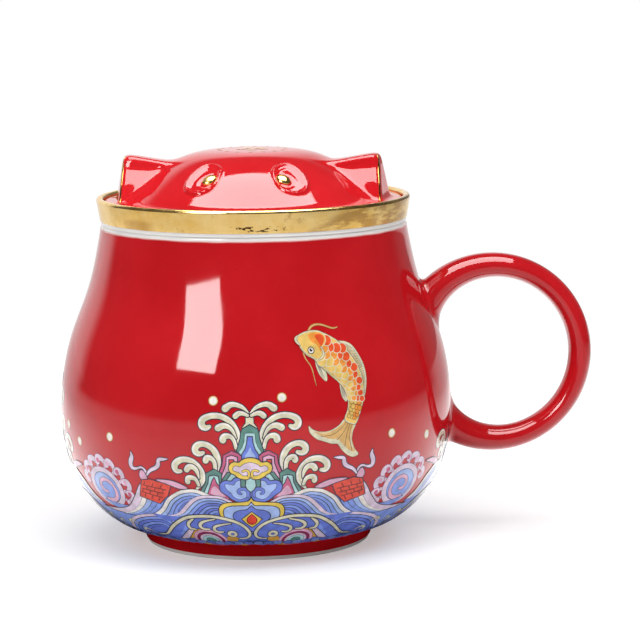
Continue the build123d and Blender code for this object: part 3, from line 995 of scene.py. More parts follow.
class Sheet:
    """Flat enamel shapes, each over the ones before it, as colours with points and faces."""

    def __init__(self, flats=()):
        self.flats = list(flats)

    def fill(self, color, curve, line, ink):
        """A filled curve over a dark line round it."""
        if line:
            self.flats.append((ink, *filled(grown(curve, line))))
        self.flats.append((color, *filled(curve)))

    def patch(self, color, outline, line=INK_LINE, ink="ink", whole=False):
        """A shape with a smooth outline; a whole one is given by its left half."""
        points = np.asarray(outline, float)
        if whole:
            points = np.concatenate([points, points[::-1] * [-1, 1]])
        around = np.linalg.norm(points - np.roll(points, 1, axis=0), axis=1).sum()
        samples = max(14, 2 * len(points), int(around / SMOOTH_PITCH))
        self.fill(color, closed_curve(points, samples), line, ink)

    def facet(self, color, outline, line=INK_LINE, ink="ink", whole=False):
        """A shape with straight edges; a whole one is given by its left half."""
        points = np.asarray(outline, float)
        if whole:
            other = points[::-1] * [-1, 1]
            points = np.concatenate([points, other[other[:, 0] < 0]])
        points = np.concatenate([points, points[:1]])
        self.fill(color, dense(points, PRINT_PITCH)[:-1], line, ink)

    def disc(self, color, center, radius, line=INK_LINE, ink="ink", squash=1.0):
        """A round shape, or one that is squashed in height."""
        turn = np.linspace(0, 2 * math.pi, max(10, int(radius * 16)), endpoint=False)
        ring = np.column_stack([np.cos(turn), np.sin(turn) * squash]) * radius + center
        self.facet(color, ring, line, ink)

    def brush(self, color, path, line=INK_LINE, ink="ink", shine=False):
        """A stroke with round ends along points that give its width as well, with a white left edge."""
        path = np.asarray(path, float)
        curve = natural(path, max(6, int(side_lengths(path[:, :2]).sum() / STROKE_PITCH)))
        if line:
            self.flats.append((ink, *self.stroke(curve, line)))
        self.flats.append((color, *self.stroke(curve, 0.0)))
        if shine:
            middle, width = curve[:, :2], curve[:, 2:]
            middle = middle + left_of(middle) * width * SHINE_PLACE
            edge = np.column_stack([middle, width * SHINE_WIDTH])
            self.flats.append(("white", *self.stroke(edge, 0.0)))

    @staticmethod
    def stroke(curve, extra):
        """Points and faces of a stroke, wider by the extra on both sides."""
        middle = curve[:, :2]
        half = np.maximum(curve[:, 2] / 2, LEAST_HALF) + extra
        left = left_of(middle)
        along = np.column_stack([left[:, 1], -left[:, 0]])
        start = middle[0] - along[0] * half[0] * np.sin(CAP)[:, None]
        end = middle[-1] + along[-1] * half[-1] * np.sin(CAP[::-1])[:, None]
        middle = np.concatenate([start, middle, end])
        left = np.concatenate([[left[0]] * len(CAP), left, [left[-1]] * len(CAP)])
        half = np.concatenate([half[0] * np.cos(CAP), half, half[-1] * np.cos(CAP[::-1])])
        side = left * np.maximum(half, LEAST_WIDTH)[:, None]
        return strip(middle + side, middle - side)

    def bands(self, colors, outer, inner, first=1.0):
        """Coloured bands between two guides over dark ink; the first can be wider."""
        outer, inner = natural(outer, BAND_SAMPLES), natural(inner, BAND_SAMPLES)
        edges = np.cumsum([0, first] + [1.0] * (len(colors) - 1))
        edges /= edges[-1]
        self.flats.append(("ink", *strip(outer, inner)))
        width = np.maximum(np.linalg.norm(outer - inner, axis=1), LEAST_WIDTH)
        inset = np.minimum(BAND_GAP / 2 / width, BAND_GAP_SHARE / len(colors))[:, None]
        for k, color in enumerate(colors):
            a, b = edges[k] + inset, edges[k + 1] - inset
            left, right = (outer * (1 - share) + inner * share for share in (a, b))
            self.flats.append((color, *strip(left, right)))

    def mirrored(self):
        """The same shapes on the other side of the middle line."""
        return Sheet((c, p * [-1, 1], [f[::-1] for f in faces]) for c, p, faces in self.flats)

    def both(self):
        """These shapes, and then their mirror images."""
        return self.flats + self.mirrored().flats

    def moved(self, across):
        """The same shapes farther round the mug."""
        return Sheet((c, p + [across, 0], faces) for c, p, faces in self.flats)


skin_arc = np.concatenate([[0], np.cumsum(side_lengths(skin))])
skin_normal = -left_of(skin)


def on_skin(flat, lift):
    """Points of the pattern's plane on the mug's skin, and the skin's normals there."""
    ring, rise = (np.interp(flat[:, 1], skin_arc, skin[:, i]) for i in (0, 1))
    out, up = (np.interp(flat[:, 1], skin_arc, skin_normal[:, i]) for i in (0, 1))
    turn = math.radians(PATTERN_TURN) - flat[:, 0] / BELLY[0]
    radius = ring + out * lift
    points = np.column_stack([radius * np.sin(turn), -radius * np.cos(turn), rise + up * lift])
    return points, np.column_stack([out * np.sin(turn), -out * np.cos(turn), up])


# The number of layers printed so far, in cells of the pattern's plane.
CELL, TALLEST = 0.4, 140
cells = np.zeros((int(ROUND / CELL) + 3, int(TALLEST / CELL)), int)


def layer_of(flat):
    """Layer over all that is printed where the points lie, which it then takes."""
    across = (flat[:, 0] % ROUND / CELL).astype(int)
    up = (flat[:, 1] / CELL).astype(int)
    near = [(across + i, up + j) for i in (-1, 0, 1) for j in (-1, 0, 1)]
    layer = max(cells[spot].max() for spot in near) + 1
    cells[across, up] = layer
    return layer


def lay(name, sheets):
    """One enamel piece from sheets, laid on the mug's skin in painter's order."""
    colors = sorted({flat[0] for sheet in sheets for flat in sheet.flats})
    points, normals, faces, slots = [], [], [], []
    count = 0
    for sheet in sheets:
        for color, flat, flat_faces in sheet.flats:
            where, facing = on_skin(flat, PRINT_LIFT - COAT_INSET + LAYER * layer_of(flat))
            points.append(where)
            normals.append(facing)
            faces += [tuple(v + count for v in face) for face in flat_faces]
            slots += [colors.index(color)] * len(flat_faces)
            count += len(flat)
    points, normals = np.concatenate(points), np.concatenate(normals)
    first = np.array([face[:3] for face in faces])
    a, b, c = (points[corner] for corner in first.T)
    backwards = (np.cross(b - a, c - a) * normals[first[:, 0]]).sum(axis=1) < 0
    faces = [face[::-1] if back else face for face, back in zip(faces, backwards)]
    mesh = bpy.data.meshes.new(name)
    mesh.from_pydata((points * MM).tolist(), [], faces)
    mesh.update()
    mesh.polygons.foreach_set("material_index", slots)
    dressed(name, mesh, [enamels[c] for c in colors], "mug", "red_glaze", angle=180.0)
    mesh.normals_split_custom_set_from_vertices(normals.tolist())


BLUES = ["lilac", "pale_sky", "sky", "blue", "sky", "blue", "sky"]
# Cream hooks of spray from the middle outwards: the last point is the curl's tip. The mountain by the
# handle has only the ones from LOW_HOOKS on.
LOW_HOOKS = 5
HOOKS = [
    [(3.5, 40.0, 0.5), (3.1, 42.2, 1.2), (3.3, 44.4, 1.6), (4.2, 46.5, 1.6), (6.0, 48.3, 1.5),
     (8.8, 49.1, 1.5), (11.1, 48.7, 1.6), (12.5, 47.6, 1.8), (12.4, 46.3, 1.8), (11.1, 45.9, 1.4),
     (10.5, 46.2, 1.0)],
    [(3.5, 43.3, 0.3), (4.5, 45.3, 0.9), (5.9, 46.4, 1.3), (7.3, 46.4, 1.65), (8.2, 45.9, 1.75)],
    [(3.6, 40.8, 0.9), (4.0, 42.4, 0.9), (4.7, 43.5, 1.1), (5.8, 43.9, 1.4), (6.9, 43.4, 1.75),
     (7.0, 42.8, 1.8)],
    [(8.8, 34.2, 0.5), (8.4, 36.4, 1.4), (8.6, 38.4, 1.65), (9.6, 40.3, 1.6), (11.2, 41.4, 1.5),
     (12.9, 41.6, 1.55), (14.3, 40.7, 1.75), (14.4, 39.6, 1.7), (13.0, 39.0, 1.3), (12.3, 39.3, 1.0)],
    [(9.2, 34.9, 0.9), (9.4, 36.8, 1.1), (10.5, 38.0, 1.4), (11.5, 37.8, 1.7), (11.7, 37.2, 1.6)],
    [(14.8, 29.1, 0.5), (13.1, 31.3, 1.4), (12.8, 33.1, 1.6), (13.6, 35.2, 1.6), (15.2, 36.8, 1.5),
     (17.7, 37.3, 1.55), (19.7, 36.5, 1.75), (20.5, 35.1, 1.75), (19.9, 34.0, 1.4), (18.8, 34.0, 1.0)],
    [(13.8, 32.3, 0.3), (14.3, 34.3, 1.1), (15.5, 35.4, 1.4), (16.7, 35.1, 1.6), (17.1, 34.5, 1.5)],
    [(14.1, 30.3, 0.8), (14.7, 31.8, 1.0), (15.9, 32.4, 1.3), (17.0, 32.0, 1.5), (17.1, 31.2, 1.5)],
]


def mountain_halves(hooks):
    """Spray hooks and side mountains on the left of the middle line."""
    s = Sheet()
    for hook in hooks:
        s.brush("cream", hook, shine=True)
    s.facet("rose", [
        (4.7, 39.9), (6.9, 38.7), (7.2, 36.4), (8.8, 32.3), (6.9, 31.4), (3.8, 31.5), (2.1, 34.0),
        (2.1, 38.8),
    ])
    s.facet("pink", [
        (6.1, 38.2), (6.2, 36.4), (7.8, 32.4), (5.2, 32.0), (3.3, 34.0), (3.4, 38.2), (4.8, 38.7),
    ])
    s.facet("brick", [(5.4, 37.5), (5.5, 34.8), (4.3, 34.8), (4.4, 37.5)])
    s.facet("teal", [
        (9.6, 34.9), (11.7, 33.7), (11.9, 31.3), (13.8, 28.4), (11.1, 26.8), (7.2, 27.0), (7.9, 31.4),
        (7.7, 33.8),
    ])
    s.facet("mint", [
        (9.7, 33.2), (11.0, 32.9), (11.3, 31.0), (12.8, 28.0), (10.4, 27.2), (8.4, 29.6), (8.6, 32.9),
    ])
    s.facet("rose", [(9.7, 32.6), (10.3, 31.4), (11.7, 27.8), (5.9, 26.3), (7.6, 29.2), (9.2, 31.0)])
    s.patch("pink", [(9.8, 30.2), (10.9, 28.0), (7.0, 27.1), (8.4, 28.9)], line=0)
    return s


def fountain():
    """Stem and arms of the spray on the middle mountain."""
    s = Sheet()
    s.facet("cream", [
        (0, 50.0), (0.5, 49.9), (0.95, 49.2), (1.0, 47.2), (1.9, 46.0), (1.6, 45.2), (0, 45.2),
    ], whole=True)
    arms = Sheet()
    arms.brush("cream", [
        (0.5, 49.2, 0.8), (1.8, 49.7, 1.05), (3.0, 49.6, 1.4), (3.7, 49.0, 1.4),
    ], shine=True)
    arms.brush("cream", [
        (0.15, 49.8, 0.25), (1.7, 51.2, 0.9), (3.4, 51.9, 1.2), (5.0, 51.9, 1.5), (6.3, 51.0, 1.9),
    ], shine=True)
    s.flats += arms.both()
    return s


def middle_mountain(tall):
    """The green and blue mountain, with its fountain where it is tall."""
    s = fountain() if tall else Sheet()
    s.facet("teal", [
        (0, 46.7), (1.9, 45.6), (2.2, 44.8), (2.4, 43.2), (3.4, 39.9), (2.4, 38.9), (0, 38.0),
    ], whole=True)
    s.facet("mint", [
        (0, 44.6), (1.25, 44.5), (1.45, 42.4), (1.9, 41.0), (2.9, 39.6), (2.2, 38.8), (0, 37.6),
    ], line=FINE_LINE, whole=True)
    s.facet("blue", [
        (0, 43.6), (0.55, 43.6), (0.7, 42.0), (1.2, 40.3), (2.1, 38.9), (2.1, 37.5), (0, 37.2),
    ], whole=True)
    s.patch("pale_sky", [(0, 41.0), (0.5, 39.8), (1.3, 38.6), (1.4, 37.5), (0, 37.2)], line=0, whole=True)
    return s


def waves_under(s):
    """Fans of wave bands to the left of the middle line."""
    s.facet("blue", [
        (31.2, 19.4), (29.5, 20.1), (27.5, 21.3), (25.4, 23.8), (23.4, 26.0), (20.0, 28.2), (15.0, 28.8),
        (11.0, 27.2), (5.0, 25.2), (0.5, 20.0), (0.5, 16.0), (18.0, 18.0), (27.0, 17.4),
    ], line=0)
    s.patch("pink", [(26.5, 31.0), (23.5, 31.2), (20.5, 30.8), (17.4, 29.3), (19.6, 29.0), (22.9, 30.0)])
    s.bands(
        ["white", "pale_sky", "sky", "sky"],
        [(30.5, 19.9), (27.6, 21.8), (25.6, 24.0), (24.1, 25.8), (21.5, 27.6), (19.8, 28.5), (17.5, 29.0),
         (15.0, 29.1), (12.7, 28.3), (11.2, 27.6)],
        [(22.3, 19.6), (21.8, 21.4), (20.5, 23.3), (18.9, 24.7), (16.5, 26.0)],
        first=1.2,
    )
    s.bands(
        BLUES,
        [(26.2, 19.7), (23.2, 20.5), (21.6, 21.4), (19.8, 23.2), (18.2, 24.8), (16.6, 26.2), (15.0, 27.0),
         (12.8, 27.5), (10.5, 27.5), (8.3, 27.3), (6.5, 26.5), (4.6, 25.4)],
        [(12.4, 19.8), (11.4, 21.0), (10.7, 21.6), (9.8, 21.9), (8.8, 21.6)],
        first=1.2,
    )


def flank(s):
    """Foot of the middle mountain and the curled blue cloud, left of the middle line."""
    s.facet("teal", [(6.0, 34.1), (5.0, 33.8), (6.8, 31.5), (7.8, 31.5)])
    s.facet("mint", [(5.0, 33.7), (3.7, 33.4), (4.6, 31.5), (6.6, 31.5)])
    s.patch("blue", [
        (2.6, 32.5), (4.3, 32.5), (5.0, 31.7), (6.8, 31.8), (7.9, 31.1), (8.3, 29.9), (7.9, 28.7),
        (6.4, 27.6), (5.2, 26.5), (3.7, 25.7), (1.8, 25.7), (0.6, 26.5), (0.1, 27.8), (0.3, 29.2),
        (1.2, 30.0), (2.3, 30.1), (2.5, 31.5),
    ])
    s.patch("pale_sky", [
        (2.7, 31.9), (3.9, 31.5), (4.4, 30.6), (5.6, 30.8), (6.8, 30.8), (6.5, 29.5), (5.4, 28.4),
        (4.7, 27.3), (3.4, 26.5), (2.1, 26.7), (1.1, 27.5), (1.2, 28.7), (1.7, 29.1), (2.8, 30.4),
    ], line=THIN_LINE)
    s.brush("blue", [
        (0.9, 27.2, 0.5), (0.75, 28.4, 0.7), (1.4, 29.4, 0.8), (2.6, 29.5, 0.8), (3.3, 29.0, 0.75),
        (3.2, 28.3, 0.7), (2.7, 28.1, 0.5),
    ], line=THIN_LINE)
    s.facet("teal", [(2.5, 32.5), (1.3, 32.4), (1.4, 30.2), (2.5, 30.3)])


def blossom(s):
    """Yellow and lilac cloud with two curls before the middle mountain."""
    s.facet("mint", [(0, 33.0), (1.1, 32.1), (1.3, 30.4), (0.8, 29.4), (0, 28.8)], whole=True)
    s.patch("yellow", [
        (0, 38.1), (1.3, 37.9), (2.3, 37.4), (3.0, 36.8), (4.2, 37.0), (5.3, 36.3), (5.6, 35.2),
        (5.1, 34.1), (4.2, 33.7), (3.5, 33.0), (2.1, 32.4), (0.7, 32.4), (0, 33.0),
    ], whole=True)
    s.patch("lilac", [
        (0, 36.9), (1.3, 36.6), (2.2, 36.1), (2.7, 35.6), (3.6, 36.0), (4.4, 35.6), (4.5, 34.9),
        (3.8, 34.5), (2.9, 34.2), (2.1, 33.5), (1.0, 33.4), (0, 34.2),
    ], whole=True, line=THIN_LINE)
    curls = Sheet()
    curls.brush("yellow", [
        (0.45, 33.2, 0.5), (0.4, 34.3, 0.5), (1.2, 34.8, 0.5), (2.0, 34.5, 0.45),
    ], line=THIN_LINE)
    s.flats += curls.both()


def base(s):
    """Yellow, blue and red scallops under the middle mountain."""
    s.patch("yellow", [
        (0, 26.8), (0.6, 25.9), (3.4, 25.4), (5.8, 25.3), (7.8, 24.9), (8.9, 23.8), (9.2, 22.2),
        (8.8, 20.6), (7.8, 19.4), (4.7, 17.0), (0, 14.0),
    ], whole=True)
    s.patch("pale_sky", [
        (0, 25.4), (0.8, 24.4), (3.5, 24.3), (6.2, 24.0), (7.5, 23.3), (7.9, 22.1), (7.8, 20.7),
        (6.9, 19.2), (4.5, 17.0), (0, 13.8),
    ], whole=True)
    s.patch("blue", [
        (0, 24.3), (1.3, 23.1), (3.6, 22.7), (5.0, 21.7), (5.2, 20.3), (3.9, 18.6), (2.3, 17.2), (0, 14.5),
    ], whole=True)
    s.facet("yellow", [(0, 22.3), (1.3, 21.1), (2.8, 19.8), (1.6, 18.2), (0, 16.7)], whole=True)
    s.patch("brick", [(0, 21.4), (1.1, 20.2), (1.3, 19.2), (0.9, 18.3), (0, 17.8)], whole=True, ink="line")


def peak(tall=True):
    """One mountain group with its clouds, waves and scrolls; a low one has no tall spray."""
    sides = mountain_halves(HOOKS if tall else HOOKS[LOW_HOOKS:])
    waves_under(sides)
    flank(sides)
    middle = middle_mountain(tall)
    blossom(middle)
    base(middle)
    return Sheet(sides.both() + middle.flats + scroll().both())


def scroll():
    """Cream scroll with its curls over a rainbow of scallops, left of the middle line."""
    s = Sheet()
    s.patch("blue", [
        (31.1, 9.0), (27.0, 14.2), (22.9, 17.6), (18.5, 19.4), (12.4, 20.0), (8.0, 19.2), (4.7, 17.7),
        (2.3, 15.8), (1.2, 13.1), (2.6, 10.4), (10.0, 7.5), (18.2, 6.6), (28.0, 6.2),
    ], line=0)
    s.patch("sky", [(25.0, 11.5), (23.0, 14.0), (21.0, 16.6), (21.6, 13.4), (23.4, 11.0)], line=0)
    s.facet("lilac", [(20.7, 14.5), (18.2, 14.9), (22.9, 9.6), (27.6, 7.8)])
    s.facet("gold", [(18.1, 15.2), (16.3, 15.1), (19.9, 9.9), (22.2, 9.9)])
    for color, radius in (("pink", 5.9), ("wine", 4.8), ("lilac", 3.8), ("mint", 2.9), ("teal", 1.7)):
        s.disc(color, (14.7, 9.2), radius, line=HAIR_LINE)
    s.patch("gold", [(8.3, 11.9), (8.6, 9.4), (5.6, 9.2), (4.9, 11.4)], line=HAIR_LINE)
    s.brush("cream", [
        (17.7, 19.3, 0.4), (19.1, 18.2, 0.85), (20.0, 16.9, 0.95), (19.7, 15.3, 0.95), (18.2, 15.0, 0.7),
    ])
    s.brush("cream", [
        (11.0, 19.6, 0.4), (13.6, 18.9, 0.65), (15.6, 17.8, 0.95), (16.2, 16.5, 1.0), (15.2, 15.4, 0.95),
        (13.5, 15.4, 0.6),
    ])
    s.brush("cream", [
        (6.4, 18.1, 0.3), (8.2, 17.8, 0.55), (10.2, 17.2, 0.8), (11.7, 16.3, 0.95), (11.8, 15.0, 0.95),
        (10.6, 14.2, 0.85), (9.3, 14.4, 0.6),
    ])
    s.disc("cream", (6.5, 13.4), 1.6)
    s.disc("blue", (6.4, 13.4), 0.5, line=FINE_LINE)
    s.brush("cream", [
        (35.3, 9.9, 0.35), (31.0, 11.0, 0.7), (28.6, 12.9, 0.85), (25.8, 15.6, 0.95), (22.5, 18.1, 0.95),
        (19.5, 19.7, 0.95), (16.1, 20.4, 0.95), (12.2, 20.6, 0.95), (8.9, 20.1, 0.95), (5.9, 19.2, 0.95),
        (3.1, 17.6, 0.95), (1.4, 15.4, 0.95), (0.9, 13.1, 0.9), (2.1, 11.3, 0.8), (4.4, 10.9, 0.6),
    ])
    return s


def lozenge(s):
    """Brick-red double lozenge with a bond of bricks and its flying ribbons."""
    s.brush("lilac", [
        (33.9, 38.0, 0.15), (33.7, 36.7, 1.1), (34.3, 35.2, 1.3), (34.1, 33.8, 1.1), (32.4, 33.6, 0.55),
        (30.7, 34.0, 0.55), (29.6, 33.0, 0.6), (29.6, 31.6, 0.45),
    ])
    s.brush("lilac", [
        (22.4, 37.1, 0.15), (23.9, 36.9, 0.8), (25.1, 36.6, 0.9), (25.3, 35.5, 1.1), (26.2, 34.4, 1.0),
        (28.1, 33.4, 0.8), (29.4, 32.0, 0.45),
    ])
    s.patch("pink", [(31.0, 33.3), (29.9, 32.5), (29.6, 30.6), (31.1, 30.4), (31.9, 31.7)])
    s.facet("brick", [(31.2, 30.4), (28.5, 30.9), (22.3, 29.7), (23.8, 26.6), (27.0, 23.8), (33.2, 25.5)])
    corners = np.array([(22.9, 29.5), (31.0, 30.1), (26.4, 24.5), (32.8, 25.9)])
    top_left, top_right, low_left, low_right = corners

    def at(across, down):
        """Point of the lozenge by its shares of the way across and down."""
        upper = top_left + (top_right - top_left) * across
        lower = low_left + (low_right - low_left) * across
        return upper + (lower - upper) * down

    rows, bricks, width = 4, 3, 0.3
    for row in range(rows):
        top, low = row / rows, (row + 1) / rows
        if row:
            s.brush("line", [(*at(0.02, top), width), (*at(0.98, top), width)], line=0)
        for k in range(bricks):
            joint = (k + (0.35 if row % 2 else 0.8)) / bricks
            s.brush("line", [(*at(joint, top), width), (*at(joint, low), width)], line=0)


def shell(s):
    """Whirlpool of blue and pink with a ring of pink curls."""
    center, squash = (47.0, 25.9), 0.82
    arm = [(14, 6.6, 0.8), (18, 8.4, 1.0), (13, 9.9, 1.3), (5, 10.7, 1.7), (-3, 10.3, 2.0), (-4, 9.3, 1.9)]

    def spot(angle, radius):
        """Point at an angle and a radius about the whirlpool's middle."""
        turn = math.radians(angle)
        return center[0] + radius * math.cos(turn), center[1] + radius * math.sin(turn) * squash

    for k in range(9):
        angle = 12.0 + 25.0 * k
        s.brush("lilac", [(*spot(angle + a, r), w) for a, r, w in arm], line=0.2, ink="wine")
        s.disc("rose" if k % 2 else "pink", spot(angle - 2, 9.7), 0.75, line=0)
    s.disc("lilac", center, 7.5, squash=squash, line=0.2, ink="wine")
    s.disc("sky", center, 5.6, squash=squash, line=0.16)
    s.disc("pale_sky", (center[0] + 0.6, center[1] + 1.0), 4.2, squash=squash, line=0)
    s.disc("sky", center, 3.6, squash=squash, line=0)
    coil = [(*spot(-70 - 42 * i, 5.2 - 0.42 * i), 1.3 - 0.05 * i) for i in range(10)]
    s.brush("pink", coil, line=THIN_LINE)
    s.brush("sky", [
        (38.6, 21.6, 0.3), (41.0, 20.5, 1.2), (44.5, 20.3, 1.8), (47.5, 20.7, 1.4), (50.4, 21.6, 0.4),
    ], line=THIN_LINE)


def sides():
    """Whirlpool, lozenge and waves between the mountain groups, on the left."""
    s = Sheet()
    shell(s)
    s.patch("lilac", [
        (56.9, 18.0), (46.8, 19.2), (39.9, 21.0), (35.8, 24.6), (32.0, 29.2), (31.6, 26.4), (34.0, 22.6),
        (38.0, 19.4), (46.4, 17.2), (54.6, 16.2),
    ])
    s.bands(
        ["white", "pale_sky", "sky", "sky", "blue"],
        [(31.8, 27.0), (33.9, 23.6), (36.5, 21.2), (41.1, 18.9), (47.7, 17.2)],
        [(22.6, 26.0), (24.6, 23.1), (27.2, 20.9), (30.0, 19.4), (33.4, 18.4)],
    )
    lozenge(s)
    s.patch("sky", [
        (60.0, 17.6), (47.0, 17.8), (41.2, 17.6), (37.7, 17.4), (44.0, 12.0), (50.0, 7.0), (60.0, 7.0),
    ])
    s.bands(
        ["lilac", "sky", "blue", "sky", "blue"],
        [(48.5, 10.0), (45.0, 14.4), (39.0, 17.8), (32.7, 19.5), (27.1, 19.6), (24.0, 18.2)],
        [(40.8, 8.0), (37.8, 11.6), (34.2, 13.6), (30.7, 14.4), (28.8, 13.9), (28.6, 12.0)],
    )
    curl = [(-2.4, -0.4, 0.25), (-1.2, 0.8, 0.6), (0.6, 0.9, 0.8), (1.6, -0.3, 0.8), (0.8, -1.2, 0.6)]
    for u, v in ((43.6, 14.2), (39.4, 11.0), (50.2, 13.0), (55.0, 14.6)):
        s.brush("cream", [(u + across, v + up, width) for across, up, width in curl], line=FINE_LINE)
    return s


def border():
    """Blue clouds with gilt bits round the pattern's lower edge."""
    s = Sheet()
    count = 96
    # The even ones come first, so that the discs don't build a chain of layers round the mug.
    alternately = [*range(0, count, 2), *range(1, count, 2)]
    for k in alternately:
        color, height = ("gold", 5.9) if k % 4 == 1 else ("blue", 6.3)
        s.disc(color, (ROUND * k / count, height), 1.5, line=FINE_LINE, ink="wine")
    for k in alternately:
        s.disc("sky" if k % 2 else "blue", (ROUND * (k + 0.5) / count, 7.4), 1.6, line=FINE_LINE)
    return s


SPINE = [
    (17.3, 67.5), (20.3, 66.2), (23.2, 64.1), (25.9, 61.7), (28.0, 58.9), (29.1, 55.6), (29.0, 52.3),
    (28.3, 49.5), (27.1, 46.5),
]
FIN_LINE = 0.13
# Rows of scales as steps along the spine, half the body's breadth at such steps, and places across it.
SCALE_ROWS = [57, 55, 53, 51, 48, 46, 43, 40, 37, 33, 30, 26, 23, 19, 16, 12, 9]
BODY_HALVES = [9, 25, 40, 59], [4.4, 3.9, 2.8, 1.5]
SCALE_PLACES, TAIL_ROW = [-2, 0, 2, -1, 1], 46
SCALE_COLORS = ["scale", "amber", "straw"]
SCALES_IN_HALF, SCALE_SQUEEZE, SCALE_RADIUS, SCALE_MARGIN = 1.8, 0.92, 0.56, 0.25
CARP_BODY = [
    (13.6, 68.5), (14.5, 69.5), (17.3, 70.3), (19.8, 70.3), (22.2, 69.3), (24.0, 68.3), (25.8, 67.0),
    (27.9, 64.7), (29.5, 62.3), (30.7, 59.8), (31.4, 57.3), (31.5, 54.4), (31.1, 51.6), (30.1, 48.9),
    (28.8, 46.1), (28.1, 45.5), (25.6, 46.8), (26.5, 49.2), (26.8, 51.6), (26.0, 54.5), (24.6, 56.6),
    (22.4, 58.6), (20.8, 60.2), (19.3, 61.7), (18.1, 63.1), (16.2, 64.3), (14.7, 66.0), (14.1, 67.4),
]
DORSAL_FIN = [
    (24.7, 67.2), (28.1, 67.0), (30.2, 65.7), (31.7, 63.1), (32.7, 60.6), (33.0, 57.7), (32.7, 55.3),
    (31.8, 52.3), (30.8, 51.9), (31.2, 54.5), (31.2, 57.4), (30.5, 59.8), (29.2, 62.4), (27.6, 64.7),
]
DORSAL_ROOT = [(25.6, 66.3), (28.4, 63.8), (30.3, 60.4), (31.2, 56.9), (31.1, 53.0)]
DORSAL_EDGE = [(27.9, 66.6), (30.2, 65.0), (31.9, 61.4), (32.6, 57.5), (31.9, 53.2)]
BELLY_FINS = [
    [(18.3, 62.5), (19.2, 61.9), (20.4, 60.7), (21.2, 58.7), (20.9, 57.1), (19.6, 58.2), (18.6, 60.1)],
    [(24.7, 56.5), (25.9, 55.0), (26.7, 53.2), (26.1, 51.4), (25.0, 52.8), (24.7, 54.6)],
]
TAIL_RAYS = [
    [(25.8, 46.5), (23.5, 44.9), (20.8, 43.9), (17.4, 44.2)],
    [(26.0, 46.3), (23.9, 44.3), (21.5, 43.1), (18.6, 42.9)],
    [(26.2, 46.2), (24.3, 43.8), (21.9, 42.2)],
    [(26.5, 46.1), (24.9, 43.5), (23.0, 41.6)],
    [(26.7, 46.0), (25.4, 43.3), (24.1, 40.8)],
    [(27.0, 45.9), (25.9, 43.0), (25.3, 39.8)],
    [(27.3, 45.8), (26.3, 42.8), (26.4, 38.9)],
    [(27.6, 45.7), (26.7, 42.7), (27.4, 38.4)],
    [(27.9, 45.6), (27.2, 42.8), (28.3, 38.0)],
]


def carp_fins(s):
    """Barbels and fins."""
    s.brush("tan", [
        (17.2, 70.4, 0.45), (18.3, 71.6, 0.55), (20.1, 72.1, 0.5), (21.8, 71.9, 0.45), (23.7, 71.2, 0.4),
        (25.5, 70.8, 0.35), (26.5, 71.0, 0.2),
    ], line=HAIR_LINE, ink="brown")
    s.brush("tan", [
        (15.0, 65.5, 0.3), (15.6, 63.3, 0.25), (16.7, 61.6, 0.22), (17.3, 59.9, 0.2), (17.6, 58.0, 0.15),
        (18.0, 56.2, 0.1),
    ], line=0.08, ink="brown")
    s.patch("cream", DORSAL_FIN, line=FIN_LINE, ink="brown")
    root, edge = natural(DORSAL_ROOT, 30), natural(DORSAL_EDGE, 30)
    for a, b in zip(root[:-2], edge[2:]):
        s.brush("gray", [(*a, 0.22), (*b, 0.14)], line=0)
    for share in (0.35, 0.7):
        line = root[:-4] * (1 - share) + edge[2:-2] * share
        s.brush("straw", [(*p, 0.16) for p in line], line=0)
    for fin in map(np.array, BELLY_FINS):
        s.patch("cream", fin, line=FIN_LINE, ink="brown")
        for share in (0.2, 0.5, 0.8):
            start = fin[0] * (1 - share) + fin[1] * share
            end = fin[-3] * share + fin[-2] * (1 - share)
            s.brush("gray", [(*start, 0.24), (*end, 0.12)], line=0)


def carp_tail(s):
    """Cream tail fin with brown and golden rays."""
    s.patch("cream", [
        (25.6, 47.0), (23.6, 45.4), (20.9, 44.2), (18.4, 44.2), (16.4, 44.9), (15.4, 45.9), (15.6, 44.2),
        (17.4, 42.4), (19.4, 41.6), (21.7, 40.8), (23.2, 40.6), (24.3, 39.1), (26.0, 37.5), (27.9, 36.7),
        (29.4, 37.3), (28.2, 38.9), (27.4, 41.4), (27.7, 43.6), (28.5, 45.5),
    ], line=FIN_LINE, ink="brown")
    s.patch("tan", [
        (25.8, 46.6), (23.8, 45.0), (21.2, 43.8), (18.7, 43.7), (16.7, 44.4), (18.8, 43.0), (20.9, 42.2),
        (23.5, 41.7), (25.1, 40.0), (27.0, 38.4), (28.2, 38.2), (27.2, 39.8), (26.9, 41.8), (27.2, 43.9),
        (28.0, 45.7),
    ], line=0)
    for n, ray in enumerate(TAIL_RAYS):
        s.brush("brown" if n % 2 else "gold", [(*p, 0.13) for p in ray], line=0)


def carp_scales(s):
    """Rows of scales from the tail to the head, red on the back and golden on the belly."""
    spine = natural(SPINE, 60)
    side = left_of(spine)
    body = closed_curve(CARP_BODY, 120)
    for n, row in enumerate(SCALE_ROWS):
        half = np.interp(row, *BODY_HALVES)
        spacing = half / SCALES_IN_HALF
        for k in np.array(SCALE_PLACES) + (0.5 if n % 2 else 0.0):
            share = k * spacing / half
            center = spine[row] + side[row] * k * spacing * SCALE_SQUEEZE
            inside = outline_distance(center[None], body)[0]
            if abs(share) > 0.95 or inside < spacing * SCALE_MARGIN:
                continue
            colors = SCALE_COLORS[1:] if row > TAIL_ROW else SCALE_COLORS
            color = colors[0] if share > 0 else colors[1] if share > -0.4 else "straw"
            ink, line = ("brown", 0.12) if row > TAIL_ROW else ("cream", 0.2)
            s.disc(color, center, spacing * SCALE_RADIUS, line=line, ink=ink)


CARP_EYE = [
    ("ink", (17.3, 65.3), 1.0), ("white", (17.3, 65.3), 0.78), ("ink", (17.3, 65.4), 0.45),
    ("white", (17.5, 65.6), 0.16),
]


